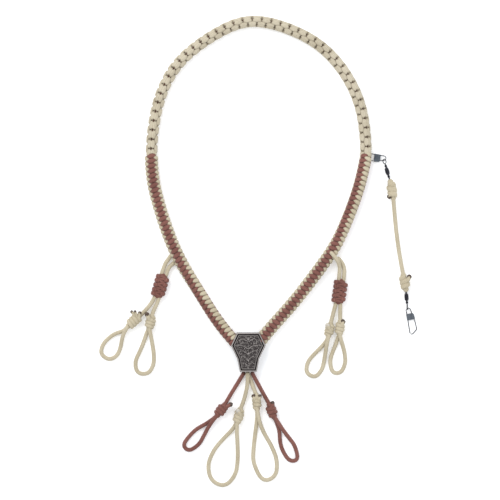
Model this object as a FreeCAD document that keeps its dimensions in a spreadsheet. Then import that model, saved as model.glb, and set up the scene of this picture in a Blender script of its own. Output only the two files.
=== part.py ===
# Braided neck lanyard with cord drops and a swivel snap, laid flat.
# Millimetres. The XY plane is the table, +Z is up, +Y runs from the drops to the top of the neck loop.
import os
import math
import FreeCAD
import Part
import Sketcher
from FreeCAD import Vector, Placement, Rotation

doc = FreeCAD.newDocument("lanyard")

# ---------------------------------------------------------------- driving dimensions
sheet = doc.addObject("Spreadsheet::Sheet", "sizes")
SIZES = [
    ("cord_radius", 2.0), ("neck_half_width", 5.35), ("leg_radius", 6.75),
    ("neck_core_radius", 2.0), ("leg_core_radius", 2.4), ("core_fit", 0.05),
    ("pocket_radius", 3.0), ("knot_radius", 5.1), ("knot_round", 1.6),
    ("sleeve_wide", 14.6), ("sleeve_high", 10.4), ("sleeve_long", 22.0), ("sleeve_round", 1.2), ("sleeve_bore", 2.08),
    ("slide_back", 1.2), ("slide_wall", 1.2), ("slide_face_base", 12.4), ("slide_face_thick", 1.6), ("slide_rim", 0.6),
    ("slide_rim_wide", 1.3), ("slide_cord_radius", 1.9), ("slide_boss_radius", 5.2),
    ("tag_radius", 1.9), ("tag_long", 5.0),
    ("barrel_radius", 2.05), ("barrel_half", 3.4), ("barrel_cavity_radius", 1.5), ("barrel_cavity_half", 3.0),
    ("barrel_end_radius", 1.55), ("barrel_hole_radius", 1.0),
    ("eye_ring_radius", 2.4), ("eye_wire_radius", 0.38), ("eye_neck_radius", 0.92), ("eye_bead_radius", 1.3),
    ("eye_head_radius", 1.3), ("eye_head_thick", 0.9),
    ("snap_wire_radius", 0.42), ("snap_plate_half", 0.8), ("snap_slot_low", 1.3), ("snap_slot_high", 2.9),
]
for row, (alias, value) in enumerate(SIZES, 1):
    cell = "B%d" % row
    sheet.set("A%d" % row, alias.replace("_", " "))
    sheet.set(cell, "%g" % value)
    sheet.setAlias(cell, alias)
doc.recompute()


def size(alias):
    return float(getattr(sheet, alias))


# ---------------------------------------------------------------- cord routes (control points, mm)
ROUTES = {
    'NECK': [(-106.55, 37.50, 5.35), (-106.55, 55.70, 5.35), (-99.65, 95.10, 5.35), (-83.15, 128.20, 5.35), (-54.05, 153.10, 5.35), (-16.35, 173.00, 5.35), (16.65, 170.30, 5.35), (56.45, 153.30, 5.35), (83.15, 127.50, 5.35), (101.65, 93.20, 5.35), (108.05, 55.60, 5.35), (107.55, 36.60, 5.35)],
    'LEFT_LEG': [(-106.55, 37.10, 6.75), (-106.85, 16.60, 6.75), (-95.65, -24.70, 6.75), (-81.45, -62.40, 6.75), (-58.45, -99.60, 6.75), (-37.25, -133.30, 6.75), (-22.15, -149.70, 6.75)],
    'RIGHT_LEG': [(107.55, 35.70, 6.75), (103.95, 16.20, 6.75), (94.05, -14.60, 6.75), (78.35, -51.80, 6.75), (58.95, -78.90, 6.75), (35.75, -109.20, 6.75), (11.75, -135.50, 6.75), (0.25, -149.70, 6.75)],
    'BROWN_LEFT_STEM': [(-14.55, -180.20, 3.30), (-19.05, -187.60, 2.40), (-28.75, -203.20, 3.40), (-33.15, -211.20, 5.10)],
    'TAN_LEFT_STEM': [(-10.75, -180.20, 7.50), (-9.95, -189.50, 6.40), (-14.05, -206.70, 2.80), (-17.65, -215.70, 5.10)],
    'TAN_RIGHT_STEM': [(-10.25, -180.20, 3.20), (-8.05, -185.30, 2.40), (-4.05, -196.30, 3.00), (-1.85, -201.70, 5.10)],
    'BROWN_RIGHT_STEM': [(-5.75, -180.20, 3.30), (-1.85, -187.50, 2.40), (6.65, -203.20, 3.40), (11.15, -210.70, 5.10)],
    'BROWN_LEFT_LOOP': [(-40.65, -221.70, 2.95), (-44.35, -225.20, 2.30), (-52.35, -230.80, 2.00), (-61.05, -235.30, 2.00), (-68.05, -241.80, 2.00), (-75.85, -252.10, 2.00), (-69.25, -258.40, 2.00), (-58.85, -251.20, 2.00), (-54.55, -243.00, 2.40), (-49.95, -234.00, 4.60), (-44.55, -225.90, 7.00), (-40.85, -221.90, 7.25)],
    'TAN_LEFT_LOOP': [(-21.55, -229.70, 2.95), (-25.45, -236.30, 2.20), (-36.05, -246.90, 2.00), (-44.55, -257.00, 2.00), (-50.85, -271.90, 2.00), (-47.25, -288.00, 2.00), (-32.95, -293.90, 2.00), (-22.35, -281.90, 2.00), (-20.25, -266.70, 2.00), (-20.55, -252.10, 2.20), (-21.45, -237.10, 6.60), (-21.15, -229.70, 7.25)],
    'TAN_RIGHT_LOOP': [(-1.15, -216.20, 2.95), (-0.75, -224.20, 2.10), (-2.85, -239.30, 2.00), (-4.65, -255.70, 2.00), (-5.35, -269.20, 2.00), (4.05, -288.80, 2.00), (17.95, -283.90, 2.00), (19.35, -267.40, 2.00), (13.15, -252.00, 2.00), (5.05, -238.80, 2.60), (0.05, -224.40, 7.20), (-0.75, -216.20, 7.25)],
    'BROWN_RIGHT_LOOP': [(15.85, -223.70, 2.95), (18.15, -228.40, 2.10), (21.55, -238.10, 2.00), (21.75, -248.90, 2.00), (24.55, -258.10, 2.00), (31.45, -268.40, 2.00), (40.55, -266.80, 2.00), (36.75, -252.10, 2.00), (31.45, -245.40, 2.20), (25.05, -237.00, 4.40), (19.45, -228.20, 7.20), (16.45, -223.70, 7.25)],
    'LEFT_DROP_OUTER': [(-86.85, -61.70, 2.40), (-89.95, -66.30, 3.40), (-94.15, -72.00, 5.20), (-102.85, -102.40, 5.20)],
    'LEFT_DROP_INNER': [(-83.15, -68.70, 2.40), (-86.55, -71.50, 3.50), (-90.95, -76.00, 5.20), (-98.75, -103.60, 5.20)],
    'LEFT_OUTER_STEM': [(-103.35, -103.60, 5.20), (-105.85, -109.00, 4.60), (-113.15, -117.80, 4.60), (-117.65, -122.00, 5.10)],
    'LEFT_INNER_STEM': [(-99.15, -104.80, 5.20), (-100.55, -108.90, 4.60), (-104.85, -117.90, 4.60), (-106.25, -122.70, 5.10)],
    'LEFT_OUTER_LOOP': [(-130.65, -133.20, 2.95), (-133.95, -137.70, 2.10), (-142.15, -139.80, 2.00), (-149.55, -144.70, 2.00), (-155.75, -151.40, 2.00), (-157.85, -160.80, 2.00), (-149.35, -166.90, 2.00), (-141.05, -162.90, 2.00), (-137.55, -154.10, 2.00), (-136.15, -145.30, 4.30), (-133.15, -137.30, 7.10), (-130.45, -133.40, 7.25)],
    'LEFT_INNER_LOOP': [(-109.15, -135.20, 2.95), (-111.55, -139.90, 2.10), (-114.75, -149.70, 2.00), (-118.85, -159.30, 2.00), (-123.45, -168.50, 2.00), (-121.35, -180.10, 2.00), (-109.95, -181.10, 2.00), (-104.35, -171.50, 2.00), (-104.25, -160.70, 2.00), (-105.85, -150.70, 2.10), (-107.65, -140.30, 6.20), (-108.65, -135.20, 7.25)],
    'RIGHT_DROP_INNER': [(73.05, -59.70, 13.00), (76.65, -63.50, 13.00), (80.75, -69.90, 9.30), (82.05, -78.20, 5.20), (77.65, -109.50, 5.20)],
    'RIGHT_DROP_OUTER': [(80.45, -65.30, 5.00), (84.05, -69.30, 4.40), (86.05, -74.90, 4.50), (86.25, -81.60, 5.20), (82.25, -110.00, 5.20)],
    'RIGHT_INNER_STEM': [(77.55, -110.70, 5.20), (76.25, -115.40, 4.70), (73.65, -125.60, 4.60), (72.35, -130.70, 5.00)],
    'RIGHT_OUTER_STEM': [(82.25, -111.20, 5.20), (82.05, -115.10, 4.70), (81.95, -123.40, 4.60), (82.35, -127.70, 5.00)],
    'RIGHT_INNER_LOOP': [(70.15, -142.70, 2.85), (68.75, -147.70, 2.10), (62.35, -154.80, 2.00), (55.45, -161.60, 2.00), (49.05, -169.20, 2.00), (47.85, -180.00, 2.00), (57.25, -184.70, 2.00), (64.35, -176.20, 2.00), (66.25, -166.60, 2.00), (67.65, -157.00, 4.60), (69.15, -147.40, 7.10), (70.45, -142.70, 7.15)],
    'RIGHT_OUTER_LOOP': [(81.15, -141.20, 2.85), (79.55, -145.30, 2.10), (76.85, -153.40, 2.00), (73.25, -161.80, 2.00), (71.75, -169.50, 2.00), (74.25, -179.80, 2.00), (82.95, -180.00, 2.00), (87.25, -170.60, 2.00), (87.05, -162.50, 2.00), (85.15, -153.70, 2.40), (82.35, -145.50, 6.40), (81.45, -141.20, 7.15)],
    'CLIP_CORD': [(135.15, -4.70, 5.10), (136.15, -17.60, 2.60), (138.75, -43.50, 2.00), (142.65, -69.20, 2.60), (145.15, -81.90, 5.10)],
    'SLIDE_CORD_1': [(-18.75, -154.20, 3.40), (-16.85, -164.20, 3.30), (-14.65, -174.30, 3.30)],
    'SLIDE_CORD_2': [(-15.55, -152.20, 7.60), (-12.25, -163.70, 7.60), (-10.75, -174.30, 7.50)],
    'SLIDE_CORD_3': [(-5.25, -154.20, 3.20), (-8.55, -164.20, 3.20), (-10.15, -174.30, 3.20)],
    'SLIDE_CORD_4': [(-0.55, -154.20, 3.40), (-3.55, -164.20, 3.30), (-5.65, -174.30, 3.30)],
}


def rounded_path(points):
    """Edges of straight runs joined by tangent arcs, and the smallest arc radius."""
    pts = [Vector(*p) for p in points]
    edges, last, smallest = [], pts[0], 1e9
    for i in range(1, len(pts) - 1):
        a, b, c = pts[i - 1], pts[i], pts[i + 1]
        u, v = a - b, c - b
        run = min(u.Length, v.Length)
        u.normalize()
        v.normalize()
        turn = math.acos(max(-1.0, min(1.0, -u.dot(v))))
        if turn < 0.006:
            continue
        cut = 0.45 * run
        radius = cut / math.tan(turn / 2)
        smallest = min(smallest, radius)
        p, q = b + u * cut, b + v * cut
        way = (u + v).normalize()
        middle = b + way * (math.hypot(radius, cut) - radius)
        edges.append(Part.LineSegment(last, p).toShape())
        edges.append(Part.Arc(p, middle, q).toShape())
        last = q
    edges.append(Part.LineSegment(last, pts[-1]).toShape())
    return edges, smallest


def route(name, points):
    edges, smallest = rounded_path(points)
    wire = Part.Wire(edges)
    obj = doc.addObject("Part::Feature", name + "_route")
    obj.Shape = wire
    return obj, len(edges), wire.Length, smallest


def facing(direction):
    return Rotation(Vector(0, 0, 1), Vector(*direction))


def sweep(name, points, radius_expr, radius_value, sides=0):
    """Section swept along a route of straight runs and tangent arcs, bound to the sheet."""
    spine, count, length, smallest = route(name, points)
    a, b = Vector(*points[0]), Vector(*points[1])
    if sides:
        section = doc.addObject("Part::RegularPolygon", name + "_section")
        section.Polygon = sides
        section.setExpression("Circumradius", "(%s) / cos(%g deg)" % (radius_expr, 180.0 / sides))
        d = (b - a).normalize()
        # local x of the polygon goes up, turned half a side so that a flat lies on the table
        up = Vector(0, 0, 1)
        side = d.cross(up).normalize()
        base = Rotation(up, side, d, "ZXY")
        section.Placement = Placement(a, base.multiply(Rotation(Vector(0, 0, 1), 180.0 / sides)))
    else:
        section = doc.addObject("Part::Circle", name + "_section")
        section.setExpression("Radius", radius_expr)
        section.Placement = Placement(a, facing(b - a))
    tube = doc.addObject("Part::Sweep", name)
    tube.Sections = [section]
    tube.Spine = (spine, ["Edge%d" % (i + 1) for i in range(count)])
    tube.Solid = True
    tube.Frenet = False
    doc.recompute()
    area = math.pi * radius_value ** 2 if not sides else sides * radius_value ** 2 * math.tan(math.pi / sides)
    print("%-26s length %7.1f  least bend radius %6.1f  volume %9.1f  section x length %9.1f"
          % (name, length, smallest, tube.Shape.Volume, area * length))
    return tube


def cut(name, base, *tools):
    for i, tool in enumerate(tools):
        c = doc.addObject("Part::Cut", name if i == len(tools) - 1 else "%s_cut%d" % (name, i))
        c.Base = base
        c.Tool = tool
        base = c
    doc.recompute()
    return base


def fuse(name, *shapes):
    f = doc.addObject("Part::MultiFuse", name)
    f.Shapes = list(shapes)
    doc.recompute()
    return f


def axis_plane(body, role):
    return [f for f in body.Origin.OriginFeatures if f.Role == role][0]


def sketch_polygon(body, name, pts, plane="XY_Plane", offset=0.0, offset_expr=None):
    """Closed polygon sketch, every corner dimensioned from the origin."""
    s = body.newObject("Sketcher::SketchObject", name)
    s.AttachmentSupport = [(axis_plane(body, plane), "")]
    s.MapMode = "FlatFace"
    if offset_expr:
        s.setExpression(".AttachmentOffset.Base.z", offset_expr)
    n = len(pts)
    for i in range(n):
        s.addGeometry(Part.LineSegment(Vector(pts[i][0], pts[i][1], 0), Vector(pts[(i + 1) % n][0], pts[(i + 1) % n][1], 0)), False)
    for i in range(n):
        s.addConstraint(Sketcher.Constraint("Coincident", i, 2, (i + 1) % n, 1))
    for i, (x, y) in enumerate(pts):
        s.addConstraint(Sketcher.Constraint("DistanceX", -1, 1, i, 1, x))
        s.addConstraint(Sketcher.Constraint("DistanceY", -1, 1, i, 1, y))
    doc.recompute()
    return s


def offset_polygon(pts, d):
    """Outline moved outwards by d (inwards when d is below zero); corners run clockwise or not alike."""
    n = len(pts)
    area = sum(pts[i][0] * pts[(i + 1) % n][1] - pts[(i + 1) % n][0] * pts[i][1] for i in range(n))
    sign = 1.0 if area > 0 else -1.0
    out = []
    for i in range(n):
        a, b, c = pts[i - 1], pts[i], pts[(i + 1) % n]
        l1, l2 = math.hypot(b[0] - a[0], b[1] - a[1]), math.hypot(c[0] - b[0], c[1] - b[1])
        n1 = (sign * (b[1] - a[1]) / l1, -sign * (b[0] - a[0]) / l1)
        n2 = (sign * (c[1] - b[1]) / l2, -sign * (c[0] - b[0]) / l2)
        k = 1 + n1[0] * n2[0] + n1[1] * n2[1]
        out.append((b[0] + d * (n1[0] + n2[0]) / k, b[1] + d * (n1[1] + n2[1]) / k))
    return out


made = {}


def keep(node, obj):
    obj.Label = node
    made[node] = obj


# ---------------------------------------------------------------- the slide that gathers the legs
OUTLINE = [(-21.15, -139.2), (1.45, -139.2), (7.45, -152.0), (1.15, -165.4), (-1.35, -178.1), (-18.35, -178.1), (-20.85, -165.4), (-27.15, -152.0)]

envelope = doc.addObject("PartDesign::Body", "envelope")
env_sketch = sketch_polygon(envelope, "envelope_outline", offset_polygon(OUTLINE, 0.2))
env_pad = envelope.newObject("PartDesign::Pad", "envelope_pad")
env_pad.Profile = env_sketch
env_pad.setExpression("Length", "sizes.slide_face_base + 6")
doc.recompute()

shell = doc.addObject("PartDesign::Body", "shell_body")
s = sketch_polygon(shell, "shell_outline", OUTLINE)
pad = shell.newObject("PartDesign::Pad", "shell_pad")
pad.Profile = s
pad.setExpression("Length", "sizes.slide_face_base")
s = sketch_polygon(shell, "shell_inside", offset_polygon(OUTLINE, -size("slide_wall")), offset_expr="sizes.slide_face_base")
pocket = shell.newObject("PartDesign::Pocket", "shell_hollow")
pocket.Profile = s
pocket.setExpression("Length", "sizes.slide_face_base - sizes.slide_back")
doc.recompute()
print("shell", pad.Shape.Volume, "->", shell.Shape.Volume)


def slot_box(name, centre, angle, wide, deep, low, high_expr):
    """Upright box, wide across the local y axis and deep along the local x axis at the given angle."""
    b = doc.addObject("Part::Box", name)
    b.Length = deep
    b.Width = wide
    b.setExpression("Height", high_expr)
    r = Rotation(Vector(0, 0, 1), angle)
    b.Placement = Placement(Vector(centre[0], centre[1], low) - r.multVec(Vector(deep / 2.0, wide / 2.0, 0)), r)
    return b


def wall_slot(name, i, wide, low, high):
    a, b = OUTLINE[i], OUTLINE[(i + 1) % len(OUTLINE)]
    mid = ((a[0] + b[0]) / 2, (a[1] + b[1]) / 2)
    angle = math.degrees(math.atan2(b[1] - a[1], b[0] - a[0])) + 90
    return slot_box(name, mid, angle, wide, 4.5, low, "%g" % (high - low))


right_mouth = wall_slot("right_mouth", 1, 11.0, 1.2, 12.2)
left_mouth = wall_slot("left_mouth", 7, 11.0, 1.2, 12.2)
low_mouth = wall_slot("low_mouth", 4, 13.9, 1.2, 11.0)
keep("slide_shell", cut("slide_shell_solid", shell, right_mouth, left_mouth, low_mouth))

face = doc.addObject("PartDesign::Body", "face_body")
s = sketch_polygon(face, "face_outline", OUTLINE, offset_expr="sizes.slide_face_base")
pad = face.newObject("PartDesign::Pad", "face_pad")
pad.Profile = s
pad.setExpression("Length", "sizes.slide_face_thick + sizes.slide_rim")
s = sketch_polygon(face, "face_sunk", offset_polygon(OUTLINE, -size("slide_rim_wide")), offset_expr="sizes.slide_face_base + sizes.slide_face_thick + sizes.slide_rim")
pocket = face.newObject("PartDesign::Pocket", "face_sink")
pocket.Profile = s
pocket.setExpression("Length", "sizes.slide_rim")
doc.recompute()
cx = (OUTLINE[2][0] + OUTLINE[7][0]) / 2
cy = OUTLINE[2][1] - 1.0
ring = face.newObject("Sketcher::SketchObject", "boss_sketch")
ring.AttachmentSupport = [(axis_plane(face, "XY_Plane"), "")]
ring.MapMode = "FlatFace"
ring.setExpression(".AttachmentOffset.Base.z", "sizes.slide_face_base + sizes.slide_face_thick")
ring.addGeometry(Part.Circle(Vector(cx, cy, 0), Vector(0, 0, 1), 5.2), False)
k = ring.addConstraint(Sketcher.Constraint("Radius", 0, 5.2))
ring.setExpression("Constraints[%d]" % k, "sizes.slide_boss_radius")
ring.addConstraint(Sketcher.Constraint("DistanceX", -1, 1, 0, 3, cx))
ring.addConstraint(Sketcher.Constraint("DistanceY", -1, 1, 0, 3, cy))
boss = face.newObject("PartDesign::Pad", "boss")
boss.Profile = ring
boss.setExpression("Length", "sizes.slide_rim")
doc.recompute()
keep("slide_face", face)

tubes = [sweep("slide_cord_%d" % n, ROUTES["SLIDE_CORD_%d" % n], "sizes.slide_cord_radius", size("slide_cord_radius")) for n in (1, 2, 3, 4)]
bundle = doc.addObject("Part::Compound", "slide_cord_bundle")
bundle.Links = tubes
doc.recompute()
keep("slide_cords", bundle)

# ---------------------------------------------------------------- braids over their cores
SNAP_SLOT = (107.85, 37.00)
slot = doc.addObject("Part::Box", "snap_slot")
slot.Length = 14.5
slot.Width = 12
slot.setExpression("Height", "sizes.snap_slot_high - sizes.snap_slot_low")
slot.Placement = Placement(Vector(SNAP_SLOT[0] - 7.25, SNAP_SLOT[1] - 6, size("snap_slot_low")), Rotation())


def braid(node, key, half, sides, core, *tools):
    outer = sweep(node + "_outer", ROUTES[key], "sizes." + half, size(half), sides)
    hole = sweep(node + "_hole", ROUTES[key], "sizes." + core, size(core))
    keep(node + "_braid", cut(node + "_braid_solid", outer, hole, *tools))
    inner = sweep(node + "_inner", ROUTES[key], "sizes.%s - sizes.core_fit" % core, size(core) - size("core_fit"))
    keep(node + "_core", inner if not tools else cut(node + "_core_solid", inner, *[t for t in tools if t in (envelope,)]) if envelope in tools else inner)


def pocket(name, key, upto):
    return sweep(name, ROUTES[key][:upto], "sizes.pocket_radius", size("pocket_radius"))


braid("neck", "NECK", "neck_half_width", 8, "neck_core_radius", slot)
left_pockets = [pocket("left_pocket_outer", "LEFT_DROP_OUTER", 3), pocket("left_pocket_inner", "LEFT_DROP_INNER", 3)]
caps = []
for n, key in (("left_cap_outer", "LEFT_DROP_OUTER"), ("left_cap_inner", "LEFT_DROP_INNER"), ("right_cap", "RIGHT_DROP_INNER")):
    ball = doc.addObject("Part::Sphere", n)
    ball.setExpression("Radius", "sizes.pocket_radius")
    ball.Placement = Placement(Vector(*ROUTES[key][0]), Rotation())
    caps.append(ball)
braid("left_leg", "LEFT_LEG", "leg_radius", 0, "leg_core_radius", envelope, left_pockets[0], left_pockets[1], caps[0], caps[1])
right_pocket = pocket("right_pocket", "RIGHT_DROP_INNER", 3)
braid("right_leg", "RIGHT_LEG", "leg_radius", 0, "leg_core_radius", envelope, slot, right_pocket, caps[2])


# ---------------------------------------------------------------- cords, knots and sleeves
def cord(node, key):
    keep(node, sweep(node + "_tube", ROUTES[key], "sizes.cord_radius", size("cord_radius")))


def knot(node, a, b, scale=1.0, tags=(), bore=True):
    """Barrel knot lying between two points, with the cut ends of its cord standing out of it."""
    a, b = Vector(*a), Vector(*b)
    d = b - a
    body = doc.addObject("Part::Cylinder", node + "_body")
    body.setExpression("Radius", "sizes.knot_radius * %g" % scale)
    body.Height = d.Length
    body.Placement = Placement(a, facing(d))
    doc.recompute()
    soft = doc.addObject("Part::Fillet", node + "_soft")
    soft.Base = body
    r = size("knot_round")
    soft.Edges = [(1, r, r), (3, r, r)]
    doc.recompute()
    pieces = [soft]
    for i, (centre, direction) in enumerate(tags):
        tag = doc.addObject("Part::Cylinder", "%s_tag%d" % (node, i + 1))
        tag.setExpression("Radius", "sizes.tag_radius")
        tag.setExpression("Height", "sizes.tag_long")
        direction = Vector(*direction).normalize()
        tag.Placement = Placement(Vector(*centre) - direction * size("tag_long") * 0.6, facing(direction))
        pieces.append(tag)
    solid = fuse(node + "_solid", *pieces) if len(pieces) > 1 else soft
    keep(node, solid)


def sleeve(node, top, bottom, lines):
    """Braided sleeve over two cords: an oblong block with a bore for each cord."""
    top, bottom = Vector(*top), Vector(*bottom)
    d = (bottom - top).normalize()
    centre = (top + bottom) * 0.5
    side = Vector(0, 0, 1).cross(d).normalize()
    body = doc.addObject("PartDesign::Body", node + "_body")
    s = body.newObject("Sketcher::SketchObject", node + "_oblong")
    s.AttachmentSupport = [(axis_plane(body, "XY_Plane"), "")]
    s.MapMode = "FlatFace"
    w, h = size("sleeve_wide") / 2, size("sleeve_high") / 2
    x = w - h
    s.addGeometry(Part.LineSegment(Vector(-x, h, 0), Vector(x, h, 0)), False)
    s.addGeometry(Part.ArcOfCircle(Part.Circle(Vector(x, 0, 0), Vector(0, 0, 1), h), -math.pi / 2, math.pi / 2), False)
    s.addGeometry(Part.LineSegment(Vector(x, -h, 0), Vector(-x, -h, 0)), False)
    s.addGeometry(Part.ArcOfCircle(Part.Circle(Vector(-x, 0, 0), Vector(0, 0, 1), h), math.pi / 2, 3 * math.pi / 2), False)
    s.addConstraint(Sketcher.Constraint("Tangent", 0, 2, 1, 2))
    s.addConstraint(Sketcher.Constraint("Tangent", 1, 1, 2, 1))
    s.addConstraint(Sketcher.Constraint("Tangent", 2, 2, 3, 2))
    s.addConstraint(Sketcher.Constraint("Tangent", 3, 1, 0, 1))
    s.addConstraint(Sketcher.Constraint("Horizontal", 0))
    k = s.addConstraint(Sketcher.Constraint("Radius", 1, h))
    s.setExpression("Constraints[%d]" % k, "sizes.sleeve_high / 2")
    k = s.addConstraint(Sketcher.Constraint("DistanceX", 3, 3, 1, 3, 2 * x))
    s.setExpression("Constraints[%d]" % k, "sizes.sleeve_wide - sizes.sleeve_high")
    s.addConstraint(Sketcher.Constraint("Symmetric", 3, 3, 1, 3, -1, 1))
    pad = body.newObject("PartDesign::Pad", node + "_pad")
    pad.Profile = s
    pad.setExpression("Length", "sizes.sleeve_long")
    doc.recompute()
    soft = body.newObject("PartDesign::Fillet", node + "_soft")
    flat = [i + 1 for i, e in enumerate(pad.Shape.Edges) if abs(e.BoundBox.ZLength) < 1e-6]
    soft.Base = (pad, ["Edge%d" % i for i in flat])
    soft.setExpression("Radius", "sizes.sleeve_round")
    doc.recompute()
    body.Placement = Placement(centre - d * size("sleeve_long") / 2, Rotation(side, Vector(0, 0, 1), d, "ZXY"))
    doc.recompute()
    bores = []
    for i, (p, q) in enumerate(lines):
        p, q = Vector(*p), Vector(*q)
        way = (q - p).normalize()
        bore = doc.addObject("Part::Cylinder", "%s_bore%d" % (node, i + 1))
        bore.setExpression("Radius", "sizes.sleeve_bore")
        bore.Height = 60
        bore.Placement = Placement(q - way * 45, facing(way))
        bores.append(bore)
    doc.recompute()
    keep(node, cut(node + "_solid", body, *bores))


for colour_side in ("brown_left", "tan_left", "tan_right", "brown_right"):
    cord(colour_side + "_stem", colour_side.upper() + "_STEM")
    cord(colour_side + "_loop", colour_side.upper() + "_LOOP")
knot('brown_left_knot', (-33.15, -211.2, 5.1), (-40.65, -221.7, 5.1), 1, [((-30.15, -212.3, 5.1), (1, 0.35, 0))])
knot('tan_left_knot', (-17.65, -215.7, 5.1), (-21.15, -229.7, 5.1), 1, [((-20.15, -217.7, 7.5), (-0.6, 0.6, 0.6))])
knot('tan_right_knot', (-1.85, -201.7, 5.1), (-0.95, -216.2, 5.1), 0.9, [((-4.15, -204.2, 6.5), (-0.5, 1, 0.3)), ((1.15, -204.2, 6.5), (0.4, 1, 0.3))])
knot('brown_right_knot', (11.15, -210.7, 5.1), (16.05, -223.7, 5.1), 1, [((13.65, -211.2, 6.0), (0.8, 0.9, 0.2))])

for hand in ("left", "right"):
    for place in ("outer", "inner"):
        key = (hand + "_" + place).upper()
        cord("%s_drop_%s_cord" % (hand, place), "%s_DROP_%s" % (hand.upper(), place.upper()))
        cord("%s_%s_stem" % (hand, place), key + "_STEM")
        cord("%s_%s_loop" % (hand, place), key + "_LOOP")
knot('left_outer_knot', (-117.65, -122.0, 5.1), (-130.55, -133.3, 5.1), 1, [((-125.15, -120.5, 6.0), (-0.9, 0.6, 0.2))])
knot('left_inner_knot', (-106.25, -122.7, 5.1), (-108.95, -135.2, 5.1), 1, [((-109.35, -123.2, 6.5), (-0.7, 0.9, 0.3))])
knot('right_inner_knot', (72.35, -130.7, 5.0), (70.25, -142.7, 5.0), 0.94, [((69.85, -132.7, 6.5), (-0.8, 0.7, 0.4))])
knot('right_outer_knot', (82.35, -127.7, 5.0), (81.25, -141.2, 5.0), 0.94, [((84.45, -129.7, 6.5), (0.3, 1, 0.3))])

sleeve('left_sleeve', (-94.85, -82.1, 5.2), (-100.85, -103.0, 5.2), [((-94.15, -72.0, 5.2), (-102.85, -102.4, 5.2)), ((-90.95, -76.0, 5.2), (-98.75, -103.6, 5.2))])
sleeve('right_sleeve', (83.1, -87.37, 5.2), (80.03, -109.16, 5.2), [((82.05, -78.2, 5.2), (77.65, -109.5, 5.2)), ((86.25, -81.6, 5.2), (82.25, -110.0, 5.2))])

cord('clip_cord', 'CLIP_CORD')
knot('upper_clip_knot', (132.15, 11.8, 5.1), (135.15, -4.7, 5.1), 1, [((131.45, -1.7, 6.5), (-0.8, -0.8, 0.3))])
knot('lower_clip_knot', (145.15, -81.9, 5.1), (147.75, -96.3, 5.1), 1, [((150.65, -84.2, 6.0), (1, 0.8, 0.2))])


# ---------------------------------------------------------------- barrel swivels
def revolve(body, name, pts):
    """Ring-shaped feature: a closed profile in the XZ plane (x along the axis, y the radius) turned about X."""
    s = body.newObject("Sketcher::SketchObject", name + "_profile")
    s.AttachmentSupport = [(axis_plane(body, "XY_Plane"), "")]
    s.MapMode = "FlatFace"
    n = len(pts)
    for i in range(n):
        s.addGeometry(Part.LineSegment(Vector(pts[i][0], pts[i][1], 0), Vector(pts[(i + 1) % n][0], pts[(i + 1) % n][1], 0)), False)
    for i in range(n):
        s.addConstraint(Sketcher.Constraint("Coincident", i, 2, (i + 1) % n, 1))
    for i, (x, y) in enumerate(pts):
        s.addConstraint(Sketcher.Constraint("DistanceX", -1, 1, i, 1, x))
        s.addConstraint(Sketcher.Constraint("DistanceY", -1, 1, i, 1, y))
    f = body.newObject("PartDesign::Revolution", name)
    f.Profile = s
    f.ReferenceAxis = (s, ["H_Axis"])
    f.Angle = 360
    doc.recompute()
    return f


def barrel(node, centre, angle):
    r, half = size("barrel_radius"), size("barrel_half")
    cr, ch = size("barrel_cavity_radius"), size("barrel_cavity_half")
    er, hr = size("barrel_end_radius"), size("barrel_hole_radius")
    body = doc.addObject("PartDesign::Body", node + "_body")
    pts = [(-half, hr), (-half, er), (-half + 0.6, er + 0.25), (-1.9, r - 0.1), (-0.9, r), (0.9, r), (1.9, r - 0.1),
           (half - 0.6, er + 0.25), (half, er), (half, hr), (ch, hr), (ch - 0.25, cr), (-ch + 0.25, cr), (-ch, hr)]
    revolve(body, node + "_turned", pts)
    body.Placement = Placement(Vector(*centre), Rotation(Vector(0, 0, 1), angle))
    doc.recompute()
    keep(node, body)


def eye(node, centre, angle, ring_at, bead_at, tilt):
    """Headed wire eye: head inside the barrel, neck through the end hole, bead, and the ring. ring_at < 0 or > 0."""
    g = 1.0 if ring_at > 0 else -1.0
    nr, br = size("eye_neck_radius"), size("eye_bead_radius")
    hr, ht = size("eye_head_radius"), size("eye_head_thick")
    head = 2.55
    body = doc.addObject("PartDesign::Body", node + "_stem")
    tip = abs(ring_at) - size("eye_ring_radius")
    pts = [(head - ht, 0), (head - ht, hr - 0.25), (head - ht + 0.25, hr), (head - 0.1, hr), (head, nr), (bead_at - 1.1, nr), (bead_at - 0.8, br - 0.3),
           (bead_at - 0.3, br), (bead_at + 0.3, br), (bead_at + 0.8, br - 0.3), (bead_at + 1.2, 0.7), (tip + 0.1, 0.5), (tip + 0.1, 0)]
    pts = [(g * x, y) for x, y in pts]
    revolve(body, node + "_turned", pts)
    torus = doc.addObject("Part::Torus", node + "_ring")
    torus.setExpression("Radius1", "sizes.eye_ring_radius")
    torus.setExpression("Radius2", "sizes.eye_wire_radius")
    place = Placement(Vector(*centre), Rotation(Vector(0, 0, 1), angle))
    torus.Placement = place.multiply(Placement(Vector(ring_at, 0, 0), Rotation(Vector(1, 0, 0), tilt)))
    body.Placement = place
    doc.recompute()
    keep(node, fuse(node + "_solid", body, torus))


UPPER_SWIVEL = ((129.17, 22.07, 2.1), -74.519)
LOWER_SWIVEL = ((148.45, -103.8, 2.1), 94.629)
barrel("upper_barrel", *UPPER_SWIVEL)
eye("upper_snap_eye", UPPER_SWIVEL[0], UPPER_SWIVEL[1], -10.2, 5.4, 55)
eye("upper_cord_eye", UPPER_SWIVEL[0], UPPER_SWIVEL[1], 11.9, 5.6, 0)
barrel("lower_barrel", *LOWER_SWIVEL)
eye("lower_snap_eye", LOWER_SWIVEL[0], LOWER_SWIVEL[1], -10.2, 5.4, 75)
eye("lower_cord_eye", LOWER_SWIVEL[0], LOWER_SWIVEL[1], 11.9, 5.6, 0)

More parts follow.
